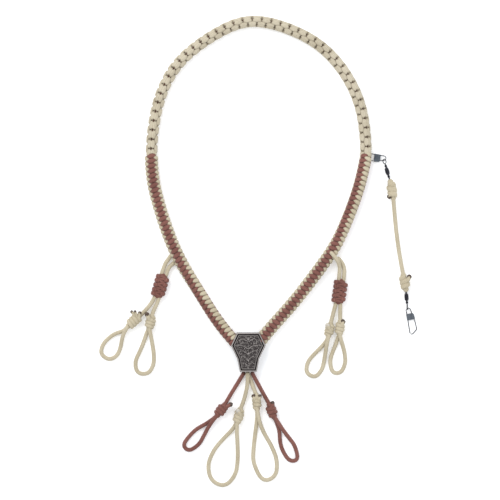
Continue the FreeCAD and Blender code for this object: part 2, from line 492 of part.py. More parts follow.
# ---------------------------------------------------------------- safety snaps
SNAP_FIXED = [(12.4, 3.5), (7.0, 3.0), (2.75, 2.72), (1.42, 1.38), (1.42, -0.52), (2.75, -1.86), (7.0, -1.9), (15.6, -2.12), (22.65, -2.5), (26.7, -2.5)]
SNAP_GATE = [(27.5, -1.75), (27.55, 0.0), (23.8, 4.95), (20.9, 4.85), (13.75, 4.5)]
SNAP_CLOSED = SNAP_FIXED[:-1] + [(27.3, -2.55), (27.6, 0.0), (23.8, 4.95), (20.9, 4.85), (13.75, 4.5)]
SNAP_PLATE = [(7.0, -2.6), (13.0, -2.75), (13.4, -2.3), (13.4, 4.9), (13.0, 5.3), (8.2, 4.9), (7.0, 4.0)]


def snap_frame(origin, along, tilt):
    """Local x runs from the link towards the bail, y across, z up; tilt lowers the bail end (degrees)."""
    r = Rotation(Vector(0, 0, 1), math.degrees(math.atan2(along[1], along[0])))
    return Placement(Vector(*origin), r.multiply(Rotation(Vector(0, 1, 0), tilt)))


def wire(node, frame, pts, mirror=1.0):
    world = [tuple(frame.multVec(Vector(x, mirror * y, 0))) for x, y in pts]
    keep(node, sweep(node + "_tube", world, "sizes.snap_wire_radius", size("snap_wire_radius")))


def plate(node, frame, mirror=1.0):
    body = doc.addObject("PartDesign::Body", node + "_body")
    s = sketch_polygon(body, node + "_outline", [(x, mirror * y) for x, y in SNAP_PLATE])
    pad = body.newObject("PartDesign::Pad", node + "_pad")
    pad.Profile = s
    pad.setExpression("Length", "sizes.snap_plate_half * 2")
    pad.Midplane = True
    doc.recompute()
    soft = body.newObject("PartDesign::Chamfer", node + "_soft")
    soft.Base = (pad, ["Edge%d" % (i + 1) for i, e in enumerate(pad.Shape.Edges) if abs(e.BoundBox.ZLength) < 1e-6])
    soft.Size = 0.3
    body.Placement = frame
    doc.recompute()
    keep(node, body)


LOWER_SNAP = snap_frame((149.22, -113.72, 2.1), (0.2022, -0.9793), 3.2)
UPPER_SNAP = snap_frame((129.35, 35.1, 2.1), (-0.99, 0.14), 0.0)
wire("lower_snap_wire", LOWER_SNAP, SNAP_FIXED)
plate("lower_snap_plate", LOWER_SNAP)
wire("lower_snap_gate", LOWER_SNAP, SNAP_GATE)
wire("upper_snap_wire", UPPER_SNAP, SNAP_CLOSED, 1.0)
plate("upper_snap_plate", UPPER_SNAP, 1.0)

# ---------------------------------------------------------------- checks and export
doc.recompute()
bad = [o.Name for o in doc.Objects if any(word in ("Invalid", "Error") for word in o.State)]
if bad:
    raise RuntimeError("failed objects: %s" % bad)
os.makedirs("parts", exist_ok=True)
low, high = Vector(1e9, 1e9, 1e9), Vector(-1e9, -1e9, -1e9)
for node, obj in made.items():
    shape = obj.Shape
    if shape.isNull() or not shape.isValid() or not shape.Solids:
        raise RuntimeError("bad shape: " + node)
    box = shape.BoundBox
    print("%-24s solids %d volume %9.2f  x %7.1f %7.1f  y %7.1f %7.1f  z %6.2f %6.2f"
          % (node, len(shape.Solids), shape.Volume, box.XMin, box.XMax, box.YMin, box.YMax, box.ZMin, box.ZMax))
    shape.exportStep("parts/%s.step" % node)
print(len(made), "sub-parts")
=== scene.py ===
import math
import bpy
import numpy as np
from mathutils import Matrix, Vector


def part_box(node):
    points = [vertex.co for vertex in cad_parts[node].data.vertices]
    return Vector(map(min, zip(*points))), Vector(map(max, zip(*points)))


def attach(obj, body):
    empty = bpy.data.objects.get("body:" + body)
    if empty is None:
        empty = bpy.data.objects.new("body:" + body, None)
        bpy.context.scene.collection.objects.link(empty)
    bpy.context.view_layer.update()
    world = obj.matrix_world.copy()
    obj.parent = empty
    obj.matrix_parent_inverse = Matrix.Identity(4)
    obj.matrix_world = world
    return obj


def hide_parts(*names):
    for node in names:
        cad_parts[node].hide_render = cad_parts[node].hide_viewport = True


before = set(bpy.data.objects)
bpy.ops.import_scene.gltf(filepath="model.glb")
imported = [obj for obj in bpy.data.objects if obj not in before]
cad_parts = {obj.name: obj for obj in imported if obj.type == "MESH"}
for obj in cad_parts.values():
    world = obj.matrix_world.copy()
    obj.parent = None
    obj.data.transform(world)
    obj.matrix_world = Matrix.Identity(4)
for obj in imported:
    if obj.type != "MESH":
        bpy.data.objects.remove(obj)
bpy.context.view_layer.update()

scene = bpy.context.scene
MM = 0.001
UP = np.array([0.0, 0.0, 1.0])

# ------------------------------------------------------------------ camera, straight down
LENS = 200.0
VIEW = 0.5
cam_data = bpy.data.cameras.new("camera")
cam_data.lens = LENS
cam_data.sensor_width = 36.0
cam_data.clip_end = 20.0
camera = bpy.data.objects.new("camera", cam_data)
scene.collection.objects.link(camera)
camera.location = (-0.00815, -0.0567, VIEW * LENS / 36.0 + 0.004)
camera.rotation_euler = (0.0, 0.0, 0.0)
scene.camera = camera
scene.view_settings.view_transform = "Standard"
scene.view_settings.look = "None"

# ------------------------------------------------------------------ cord routes, as the CAD has them (mm)
ROUTES = {
    'NECK': [(-0.10655, 0.0375, 0.00535), (-0.10655, 0.0557, 0.00535), (-0.09965, 0.0951, 0.00535), (-0.08315, 0.1282, 0.00535), (-0.05405, 0.1531, 0.00535), (-0.01635, 0.173, 0.00535), (0.01665, 0.1703, 0.00535), (0.05645, 0.1533, 0.00535), (0.08315, 0.1275, 0.00535), (0.10165, 0.0932, 0.00535), (0.10805, 0.0556, 0.00535), (0.10755, 0.0366, 0.00535)],
    'LEFT_LEG': [(-0.10655, 0.0371, 0.00675), (-0.10685, 0.0166, 0.00675), (-0.09565, -0.0247, 0.00675), (-0.08145, -0.0624, 0.00675), (-0.05845, -0.0996, 0.00675), (-0.03725, -0.1333, 0.00675), (-0.02215, -0.1497, 0.00675)],
    'RIGHT_LEG': [(0.10755, 0.0357, 0.00675), (0.10395, 0.0162, 0.00675), (0.09405, -0.0146, 0.00675), (0.07835, -0.0518, 0.00675), (0.05895, -0.0789, 0.00675), (0.03575, -0.1092, 0.00675), (0.01175, -0.1355, 0.00675), (0.00025, -0.1497, 0.00675)],
    'BROWN_LEFT_STEM': [(-0.01455, -0.1802, 0.0033), (-0.01905, -0.1876, 0.0024), (-0.02875, -0.2032, 0.0034), (-0.03315, -0.2112, 0.0051)],
    'TAN_LEFT_STEM': [(-0.01075, -0.1802, 0.0075), (-0.00995, -0.1895, 0.0064), (-0.01405, -0.2067, 0.0028), (-0.01765, -0.2157, 0.0051)],
    'TAN_RIGHT_STEM': [(-0.01025, -0.1802, 0.0032), (-0.00805, -0.1853, 0.0024), (-0.00405, -0.1963, 0.003), (-0.00185, -0.2017, 0.0051)],
    'BROWN_RIGHT_STEM': [(-0.00575, -0.1802, 0.0033), (-0.00185, -0.1875, 0.0024), (0.00665, -0.2032, 0.0034), (0.01115, -0.2107, 0.0051)],
    'BROWN_LEFT_LOOP': [(-0.04065, -0.2217, 0.00295), (-0.04435, -0.2252, 0.0023), (-0.05235, -0.2308, 0.002), (-0.06105, -0.2353, 0.002), (-0.06805, -0.2418, 0.002), (-0.07585, -0.2521, 0.002), (-0.06925, -0.2584, 0.002), (-0.05885, -0.2512, 0.002), (-0.05455, -0.243, 0.0024), (-0.04995, -0.234, 0.0046), (-0.04455, -0.2259, 0.007), (-0.04085, -0.2219, 0.00725)],
    'TAN_LEFT_LOOP': [(-0.02155, -0.2297, 0.00295), (-0.02545, -0.2363, 0.0022), (-0.03605, -0.2469, 0.002), (-0.04455, -0.257, 0.002), (-0.05085, -0.2719, 0.002), (-0.04725, -0.288, 0.002), (-0.03295, -0.2939, 0.002), (-0.02235, -0.2819, 0.002), (-0.02025, -0.2667, 0.002), (-0.02055, -0.2521, 0.0022), (-0.02145, -0.2371, 0.0066), (-0.02115, -0.2297, 0.00725)],
    'TAN_RIGHT_LOOP': [(-0.00115, -0.2162, 0.00295), (-0.00075, -0.2242, 0.0021), (-0.00285, -0.2393, 0.002), (-0.00465, -0.2557, 0.002), (-0.00535, -0.2692, 0.002), (0.00405, -0.2888, 0.002), (0.01795, -0.2839, 0.002), (0.01935, -0.2674, 0.002), (0.01315, -0.252, 0.002), (0.00505, -0.2388, 0.0026), (0.00005, -0.2244, 0.0072), (-0.00075, -0.2162, 0.00725)],
    'BROWN_RIGHT_LOOP': [(0.01585, -0.2237, 0.00295), (0.01815, -0.2284, 0.0021), (0.02155, -0.2381, 0.002), (0.02175, -0.2489, 0.002), (0.02455, -0.2581, 0.002), (0.03145, -0.2684, 0.002), (0.04055, -0.2668, 0.002), (0.03675, -0.2521, 0.002), (0.03145, -0.2454, 0.0022), (0.02505, -0.237, 0.0044), (0.01945, -0.2282, 0.0072), (0.01645, -0.2237, 0.00725)],
    'LEFT_DROP_OUTER': [(-0.08685, -0.0617, 0.0024), (-0.08995, -0.0663, 0.0034), (-0.09415, -0.072, 0.0052), (-0.10285, -0.1024, 0.0052)],
    'LEFT_DROP_INNER': [(-0.08315, -0.0687, 0.0024), (-0.08655, -0.0715, 0.0035), (-0.09095, -0.076, 0.0052), (-0.09875, -0.1036, 0.0052)],
    'LEFT_OUTER_STEM': [(-0.10335, -0.1036, 0.0052), (-0.10585, -0.109, 0.0046), (-0.11315, -0.1178, 0.0046), (-0.11765, -0.122, 0.0051)],
    'LEFT_INNER_STEM': [(-0.09915, -0.1048, 0.0052), (-0.10055, -0.1089, 0.0046), (-0.10485, -0.1179, 0.0046), (-0.10625, -0.1227, 0.0051)],
    'LEFT_OUTER_LOOP': [(-0.13065, -0.1332, 0.00295), (-0.13395, -0.1377, 0.0021), (-0.14215, -0.1398, 0.002), (-0.14955, -0.1447, 0.002), (-0.15575, -0.1514, 0.002), (-0.15785, -0.1608, 0.002), (-0.14935, -0.1669, 0.002), (-0.14105, -0.1629, 0.002), (-0.13755, -0.1541, 0.002), (-0.13615, -0.1453, 0.0043), (-0.13315, -0.1373, 0.0071), (-0.13045, -0.1334, 0.00725)],
    'LEFT_INNER_LOOP': [(-0.10915, -0.1352, 0.00295), (-0.11155, -0.1399, 0.0021), (-0.11475, -0.1497, 0.002), (-0.11885, -0.1593, 0.002), (-0.12345, -0.1685, 0.002), (-0.12135, -0.1801, 0.002), (-0.10995, -0.1811, 0.002), (-0.10435, -0.1715, 0.002), (-0.10425, -0.1607, 0.002), (-0.10585, -0.1507, 0.0021), (-0.10765, -0.1403, 0.0062), (-0.10865, -0.1352, 0.00725)],
    'RIGHT_DROP_INNER': [(0.07305, -0.0597, 0.013), (0.07665, -0.0635, 0.013), (0.08075, -0.0699, 0.0093), (0.08205, -0.0782, 0.0052), (0.07765, -0.1095, 0.0052)],
    'RIGHT_DROP_OUTER': [(0.08045, -0.0653, 0.005), (0.08405, -0.0693, 0.0044), (0.08605, -0.0749, 0.0045), (0.08625, -0.0816, 0.0052), (0.08225, -0.11, 0.0052)],
    'RIGHT_INNER_STEM': [(0.07755, -0.1107, 0.0052), (0.07625, -0.1154, 0.0047), (0.07365, -0.1256, 0.0046), (0.07235, -0.1307, 0.005)],
    'RIGHT_OUTER_STEM': [(0.08225, -0.1112, 0.0052), (0.08205, -0.1151, 0.0047), (0.08195, -0.1234, 0.0046), (0.08235, -0.1277, 0.005)],
    'RIGHT_INNER_LOOP': [(0.07015, -0.1427, 0.00285), (0.06875, -0.1477, 0.0021), (0.06235, -0.1548, 0.002), (0.05545, -0.1616, 0.002), (0.04905, -0.1692, 0.002), (0.04785, -0.18, 0.002), (0.05725, -0.1847, 0.002), (0.06435, -0.1762, 0.002), (0.06625, -0.1666, 0.002), (0.06765, -0.157, 0.0046), (0.06915, -0.1474, 0.0071), (0.07045, -0.1427, 0.00715)],
    'RIGHT_OUTER_LOOP': [(0.08115, -0.1412, 0.00285), (0.07955, -0.1453, 0.0021), (0.07685, -0.1534, 0.002), (0.07325, -0.1618, 0.002), (0.07175, -0.1695, 0.002), (0.07425, -0.1798, 0.002), (0.08295, -0.18, 0.002), (0.08725, -0.1706, 0.002), (0.08705, -0.1625, 0.002), (0.08515, -0.1537, 0.0024), (0.08235, -0.1455, 0.0064), (0.08145, -0.1412, 0.00715)],
    'CLIP_CORD': [(0.13515, -0.0047, 0.0051), (0.13615, -0.0176, 0.0026), (0.13875, -0.0435, 0.002), (0.14265, -0.0692, 0.0026), (0.14515, -0.0819, 0.0051)],
}


def control(key):
    return [tuple(p) for p in ROUTES[key]]


def spline_points(pts, step):
    """Points along the smooth NURBS line whose control points are pts (metres), evenly spaced."""
    data = bpy.data.curves.new("line", "CURVE")
    data.dimensions = "3D"
    sp = data.splines.new("NURBS")
    sp.points.add(len(pts) - 1)
    for q, p in zip(sp.points, pts):
        q.co = (p[0], p[1], p[2], 1.0)
    sp.order_u = 3
    sp.use_endpoint_u = True
    sp.resolution_u = 32
    data.resolution_u = 32
    obj = bpy.data.objects.new("line", data)
    scene.collection.objects.link(obj)
    bpy.context.view_layer.update()
    mesh = bpy.data.meshes.new_from_object(obj)
    raw = np.array([tuple(v.co) for v in mesh.vertices])
    bpy.data.meshes.remove(mesh)
    bpy.data.objects.remove(obj)
    bpy.data.curves.remove(data)
    d = np.r_[0.0, np.cumsum(np.linalg.norm(np.diff(raw, axis=0), axis=1))]
    n = max(6, int(round(d[-1] / step)) + 1)
    t = np.linspace(0.0, d[-1], n)
    return np.stack([np.interp(t, d, raw[:, i]) for i in range(3)], axis=1), d[-1]


def unit(v):
    return v / np.maximum(np.linalg.norm(v, axis=-1, keepdims=True), 1e-12)


def tangents(P):
    return unit(np.gradient(P, axis=0))


def carried(P, first=None):
    """Frames carried along a line without twist."""
    T = tangents(P)
    a = first if first is not None else (np.cross(T[0], UP) if abs(T[0][2]) < 0.9 else np.array([1.0, 0, 0]))
    A = np.zeros_like(P)
    for i in range(len(P)):
        a = a - T[i] * np.dot(a, T[i])
        a = a / np.linalg.norm(a)
        A[i] = a
    return A, np.cross(T, A), T


# ------------------------------------------------------------------ mesh making
def new_object(name, verts, faces, uvs=None, material=None):
    mesh = bpy.data.meshes.new(name)
    mesh.from_pydata([tuple(v) for v in verts], [], [tuple(f) for f in faces])
    if uvs is not None:
        layer = mesh.uv_layers.new(name="UVMap")
        loops = np.zeros(len(mesh.loops), dtype=np.int64)
        mesh.loops.foreach_get("vertex_index", loops)
        layer.data.foreach_set("uv", np.asarray(uvs, dtype=np.float32)[: len(loops)].reshape(-1))
    mesh.polygons.foreach_set("use_smooth", [True] * len(mesh.polygons))
    mesh.update()
    obj = bpy.data.objects.new(name, mesh)
    scene.collection.objects.link(obj)
    if material is not None:
        for m in (material if isinstance(material, (list, tuple)) else [material]):
            mesh.materials.append(m)
    return obj


class Build:
    """Collects tubes into one mesh, with uv: u once round the tube, v along it in millimetres, and a per-vertex amount
    of painted shade.
    """

    def __init__(self):
        self.v, self.f, self.uv, self.mi, self.painted_shade_rows = [], [], [], [], []
        self.n = 0

    def tube(self, P, ra, rb=None, A=None, B=None, sides=12, ends=("round", "round"), power=1.0, groove=0.0, v0=0.0, mat=0, painted_shade=None):
        P = np.asarray(P, float)
        rb = ra if rb is None else rb
        if A is None:
            A, B, T = carried(P)
        else:
            T = tangents(P)
        n = len(P)
        ra = np.broadcast_to(np.asarray(ra, float), (n,)).copy()
        rb = np.broadcast_to(np.asarray(rb, float), (n,)).copy()
        # rounded ends: a few more rings that shrink
        rows = [(P[i], A[i], B[i], ra[i], rb[i], 0.0) for i in range(n)]
        head, tail = [], []
        for which, out in (("start", head), ("end", tail)):
            kind = ends[0] if which == "start" else ends[1]
            i = 0 if which == "start" else n - 1
            way = -T[0] if which == "start" else T[-1]
            steps = (0.45, 0.8, 0.97) if kind == "round" else (0.02,)
            for c in steps:
                k = math.sqrt(max(0.0, 1 - c * c)) if kind == "round" else 1.0
                reach = min(ra[i], rb[i]) * (c if kind == "round" else 0.0)
                out.append((P[i] + way * reach, A[i], B[i], ra[i] * k, rb[i] * k, 0.0))
        rows = list(reversed(head)) + rows + tail
        m = len(rows)
        centre = np.array([r[0] for r in rows])
        d = np.r_[0.0, np.cumsum(np.linalg.norm(np.diff(centre, axis=0), axis=1))] / MM + v0
        th = np.linspace(0, 2 * math.pi, sides, endpoint=False)
        c, s = np.cos(th), np.sin(th)
        cc, ss = np.sign(c) * np.abs(c) ** power, np.sign(s) * np.abs(s) ** power
        if groove:
            ss = ss * (1 - groove * np.exp(-(c / 0.28) ** 2))
        ring = (centre[:, None, :] + np.array([r[1] * r[3] for r in rows])[:, None, :] * cc[None, :, None]
                + np.array([r[2] * r[4] for r in rows])[:, None, :] * ss[None, :, None])
        base = self.n
        self.v.append(ring.reshape(-1, 3))
        self.n += m * sides
        # painted shade per vertex: the given amount along the tube, plus a darker band painted along the tube's two
        # sides
        shade_along = np.zeros(n) if painted_shade is None else np.asarray(painted_shade, float)
        shade_along = np.r_[[shade_along[0]] * len(head), shade_along, [shade_along[-1]] * len(tail)]
        edge = 0.0 if painted_shade is None else 0.75
        self.painted_shade_rows.append(np.clip(shade_along[:, None] + edge * np.abs(c)[None, :] ** 5, 0, 1).reshape(-1))
        a = np.arange(m - 1)[:, None] * sides
        j = np.arange(sides)[None, :]
        j2 = (j + 1) % sides
        quads = np.stack([a + j, a + j2, a + sides + j2, a + sides + j], axis=-1).reshape(-1, 4) + base
        self.f.extend(quads.tolist())
        u0 = np.broadcast_to(j / sides, (m - 1, sides))
        u1 = np.broadcast_to((j + 1) / sides, (m - 1, sides))
        w0 = np.broadcast_to(d[:-1, None], (m - 1, sides))
        w1 = np.broadcast_to(d[1:, None], (m - 1, sides))
        self.uv.append(np.stack([np.stack([u0, w0], -1), np.stack([u1, w0], -1), np.stack([u1, w1], -1), np.stack([u0, w1], -1)], axis=2).reshape(-1, 2))
        self.mi.extend([mat] * len(quads))
        first = [base + k for k in range(sides)][::-1]
        last = [base + (m - 1) * sides + k for k in range(sides)]
        for cap, vv in ((first, d[0]), (last, d[-1])):
            self.f.append(cap)
            self.uv.append(np.array([[k / sides, vv] for k in range(sides)]))
            self.mi.append(mat)
        return self

    def loft(self, rows, v0=0.0, mat=0, painted_shade=None):
        """Skin over rings of equal size, closed at both ends."""
        m, sides = rows.shape[:2]
        centre = rows.mean(axis=1)
        d = np.r_[0.0, np.cumsum(np.linalg.norm(np.diff(centre, axis=0), axis=1))] / MM + v0
        base = self.n
        self.v.append(rows.reshape(-1, 3))
        self.n += m * sides
        if painted_shade is None:
            painted_shade = np.zeros((m, sides))
        self.painted_shade_rows.append(painted_shade.reshape(-1))
        a = np.arange(m - 1)[:, None] * sides
        j = np.arange(sides)[None, :]
        j2 = (j + 1) % sides
        quads = np.stack([a + j, a + j2, a + sides + j2, a + sides + j], axis=-1).reshape(-1, 4) + base
        self.f.extend(quads.tolist())
        u0 = np.broadcast_to(j / sides, (m - 1, sides))
        u1 = np.broadcast_to((j + 1) / sides, (m - 1, sides))
        w0 = np.broadcast_to(d[:-1, None], (m - 1, sides))
        w1 = np.broadcast_to(d[1:, None], (m - 1, sides))
        self.uv.append(np.stack([np.stack([u0, w0], -1), np.stack([u1, w0], -1), np.stack([u1, w1], -1), np.stack([u0, w1], -1)], axis=2).reshape(-1, 2))
        self.mi.extend([mat] * len(quads))
        for cap, vv in (([base + k for k in range(sides)][::-1], d[0]), ([base + (m - 1) * sides + k for k in range(sides)], d[-1])):
            self.f.append(cap)
            self.uv.append(np.array([[k / sides, vv] for k in range(sides)]))
            self.mi.append(mat)
        return self

    def obj(self, name, materials):
        o = new_object(name, np.concatenate(self.v), self.f, np.concatenate(self.uv), materials)
        o.data.polygons.foreach_set("material_index", self.mi)
        # per-vertex painted shade, which the cord material turns into a darker colour
        shade_layer = o.data.attributes.new("painted_shade", "FLOAT", "POINT")
        shade_layer.data.foreach_set("value", np.concatenate(self.painted_shade_rows).astype(np.float32))
        o.data.update()
        return o


# ------------------------------------------------------------------ materials
def srgb(r, g, b):
    out = []
    for c in (r, g, b):
        c /= 255.0
        out.append(c / 12.92 if c <= 0.04045 else ((c + 0.055) / 1.055) ** 2.4)
    return (out[0], out[1], out[2], 1.0)


class Nodes:
    def __init__(self, name):
        self.mat = bpy.data.materials.new(name)
        self.mat.use_nodes = True
        self.t = self.mat.node_tree
        self.bsdf = self.t.nodes["Principled BSDF"]

    def add(self, kind, **values):
        n = self.t.nodes.new(kind)
        for k, v in values.items():
            setattr(n, k, v)
        return n

    def link(self, a, b):
        self.t.links.new(a, b)

    def put(self, value, socket):
        if isinstance(value, bpy.types.NodeSocket):
            self.link(value, socket)
        else:
            socket.default_value = value

    def math(self, op, a, b=None, c=None, clamp=False):
        n = self.add("ShaderNodeMath", operation=op, use_clamp=clamp)
        self.put(a, n.inputs[0])
        if b is not None:
            self.put(b, n.inputs[1])
        if c is not None:
            self.put(c, n.inputs[2])
        return n.outputs[0]

    def noise(self, scale, detail=3.0, rough=0.55, vector=None):
        n = self.add("ShaderNodeTexNoise")
        n.inputs["Scale"].default_value = scale
        n.inputs["Detail"].default_value = detail
        n.inputs["Roughness"].default_value = rough
        if vector is None:
            vector = self.coord("Object")
        self.link(vector, n.inputs["Vector"])
        return n.outputs["Fac"]

    def coord(self, which):
        if not hasattr(self, "tc"):
            self.tc = self.add("ShaderNodeTexCoord")
        return self.tc.outputs[which]

    def ramp(self, fac, stops):
        n = self.add("ShaderNodeValToRGB")
        r = n.color_ramp
        while len(r.elements) < len(stops):
            r.elements.new(0.5)
        for e, (p, col) in zip(r.elements, stops):
            e.position = p
            e.color = col
        self.link(fac, n.inputs["Fac"])
        return n.outputs["Color"]

    def bump(self, height, strength, distance):
        n = self.add("ShaderNodeBump")
        n.inputs["Strength"].default_value = strength
        n.inputs["Distance"].default_value = distance
        self.link(height, n.inputs["Height"])
        self.link(n.outputs["Normal"], self.bsdf.inputs["Normal"])


def weave_material(name, dark, mid, light, strands=8, pitch=1.7, sheen=0.35):
    """Woven nylon sheath: diamond plaits from the tube's own uv, with fine fibre and slow dirt variation, and painted
    shade mixed in as a darker colour by a per-vertex attribute.
    """
    m = Nodes(name)
    uv = m.add("ShaderNodeUVMap")
    uv.uv_map = "UVMap"
    sep = m.add("ShaderNodeSeparateXYZ")
    m.link(uv.outputs["UV"], sep.inputs["Vector"])
    u = m.math("MULTIPLY", sep.outputs["X"], 2 * math.pi * strands)
    v = m.math("MULTIPLY", sep.outputs["Y"], 2 * math.pi / pitch)
    a = m.math("SINE", m.math("ADD", u, v))
    b = m.math("SINE", m.math("SUBTRACT", u, v))
    cell = m.math("MULTIPLY_ADD", m.math("MULTIPLY", a, b), 0.5, 0.5)
    fibre = m.math("SINE", m.math("MULTIPLY", m.math("ADD", u, v), 5.0))
    height = m.math("MULTIPLY_ADD", fibre, 0.06, cell)
    grain = m.noise(900.0, 2.0, 0.6)
    slow = m.noise(60.0, 3.0, 0.5)
    mixv = m.math("ADD", m.math("MULTIPLY", cell, 0.34), m.math("ADD", m.math("MULTIPLY", grain, 0.32), m.math("MULTIPLY", slow, 0.42)))
    colour = m.ramp(mixv, [(0.26, dark), (0.52, mid), (0.8, light)])
    # painted shade: the per-vertex shade attribute mixes a darker colour into the base colour
    attr = m.add("ShaderNodeAttribute")
    attr.attribute_name = "painted_shade"
    shade_mix = m.add("ShaderNodeMixRGB")
    m.link(m.math("MULTIPLY", attr.outputs["Fac"], 0.85), shade_mix.inputs["Fac"])
    m.link(colour, shade_mix.inputs["Color1"])
    shade_mix.inputs["Color2"].default_value = (dark[0] * 0.5, dark[1] * 0.4, dark[2] * 0.36, 1.0)
    m.link(shade_mix.outputs["Color"], m.bsdf.inputs["Base Color"])
    m.bsdf.inputs["Roughness"].default_value = 0.72
    m.bsdf.inputs["Specular IOR Level"].default_value = 0.22
    m.bsdf.inputs["Sheen Weight"].default_value = sheen
    m.bsdf.inputs["Sheen Roughness"].default_value = 0.45
    m.bump(height, 0.5, 0.00022)
    return m.mat


def metal_material(name, dark, light, rough, bump=0.25, scale=500.0, metallic=1.0):
    m = Nodes(name)
    n1 = m.noise(scale, 4.0, 0.6)
    n2 = m.noise(scale * 0.14, 3.0, 0.5)
    fac = m.math("ADD", m.math("MULTIPLY", n1, 0.45), m.math("MULTIPLY", n2, 0.55))
    m.link(m.ramp(fac, [(0.3, dark), (0.7, light)]), m.bsdf.inputs["Base Color"])
    m.bsdf.inputs["Metallic"].default_value = metallic
    rr = m.math("MULTIPLY_ADD", n2, 0.25, rough - 0.12)
    m.link(rr, m.bsdf.inputs["Roughness"])
    m.bump(n1, bump, 0.00012)
    return m.mat


def pewter_material(name):
    """Antique pewter: dark in the hollows of the relief and rubbed bright on its high points."""
    m = Nodes(name)
    geo = m.add("ShaderNodeNewGeometry")
    point = m.math("MULTIPLY_ADD", m.math("SUBTRACT", geo.outputs["Pointiness"], 0.5), 9.0, 0.5, clamp=True)
    attr = m.add("ShaderNodeAttribute")
    attr.attribute_name = "relief"
    n1 = m.noise(420.0, 4.0, 0.62)
    n2 = m.noise(90.0, 3.0, 0.5)
    h = m.math("ADD", m.math("MULTIPLY", attr.outputs["Fac"], 0.62), m.math("MULTIPLY", point, 0.2))
    fac = m.math("ADD", h, m.math("ADD", m.math("MULTIPLY", n1, 0.16), m.math("MULTIPLY", n2, 0.1)))
    m.link(m.ramp(fac, [(0.24, srgb(30, 24, 24)), (0.54, srgb(80, 74, 73)), (0.93, srgb(166, 159, 155))]), m.bsdf.inputs["Base Color"])
    m.bsdf.inputs["Metallic"].default_value = 0.75
    m.link(m.math("MULTIPLY_ADD", n2, 0.25, 0.3), m.bsdf.inputs["Roughness"])
    m.bump(n1, 0.35, 0.00016)
    return m.mat


TAN = weave_material("tan_weave", srgb(150, 138, 112), srgb(189, 177, 151), srgb(206, 196, 172), sheen=0.12)
TAN_NECK = weave_material("tan_weave_neck", srgb(148, 137, 113), srgb(188, 177, 154), srgb(206, 197, 176), strands=12, sheen=0.12)
BROWN = weave_material("brown_weave", srgb(82, 46, 40), srgb(122, 79, 70), srgb(150, 103, 93), sheen=0.14)
CORE = weave_material("core_weave", srgb(44, 27, 21), srgb(74, 46, 37), srgb(96, 64, 52), sheen=0.1)
CORE_LEG = weave_material("core_leg", srgb(62, 34, 29), srgb(98, 60, 52), srgb(118, 78, 68), sheen=0.1)
CORE_PLAIN = weave_material("core_plain", srgb(70, 46, 38), srgb(112, 78, 64), srgb(136, 98, 82))
MELT = metal_material("melted_end", srgb(46, 34, 26), srgb(86, 66, 52), 0.38, 0.6, 700.0, 0.0)
# painted highlight: the near-white colour of these glossy melted beads stands in for the shine on the melted end
MELT_PAINTED_HIGHLIGHT = metal_material("melted_end_pale", srgb(150, 140, 122), srgb(222, 216, 204), 0.22, 0.4, 500.0, 0.0)
PEWTER = pewter_material("antique_pewter")
BLACK_NICKEL = metal_material("black_nickel", srgb(24, 24, 28), srgb(60, 60, 66), 0.34, 0.12)
SATIN_GREY = metal_material("satin_grey_steel", srgb(66, 71, 78), srgb(112, 118, 124), 0.36, 0.12)


# ------------------------------------------------------------------ braids
def base_frame(P):
    T = tangents(P)
    T[:, 2] = 0
    T = unit(T)
    side = np.cross(T, UP)
    return T, side


def ring_point(C, side, phi, r, broad=1.0):
    return C + (np.cos(phi)[:, None] * UP + np.sin(phi)[:, None] * side * broad) * r[:, None]


def along(P, length, s):
    t = np.linspace(0, length, len(P))
    return np.stack([np.interp(s, t, P[:, i]) for i in range(3)], axis=1)


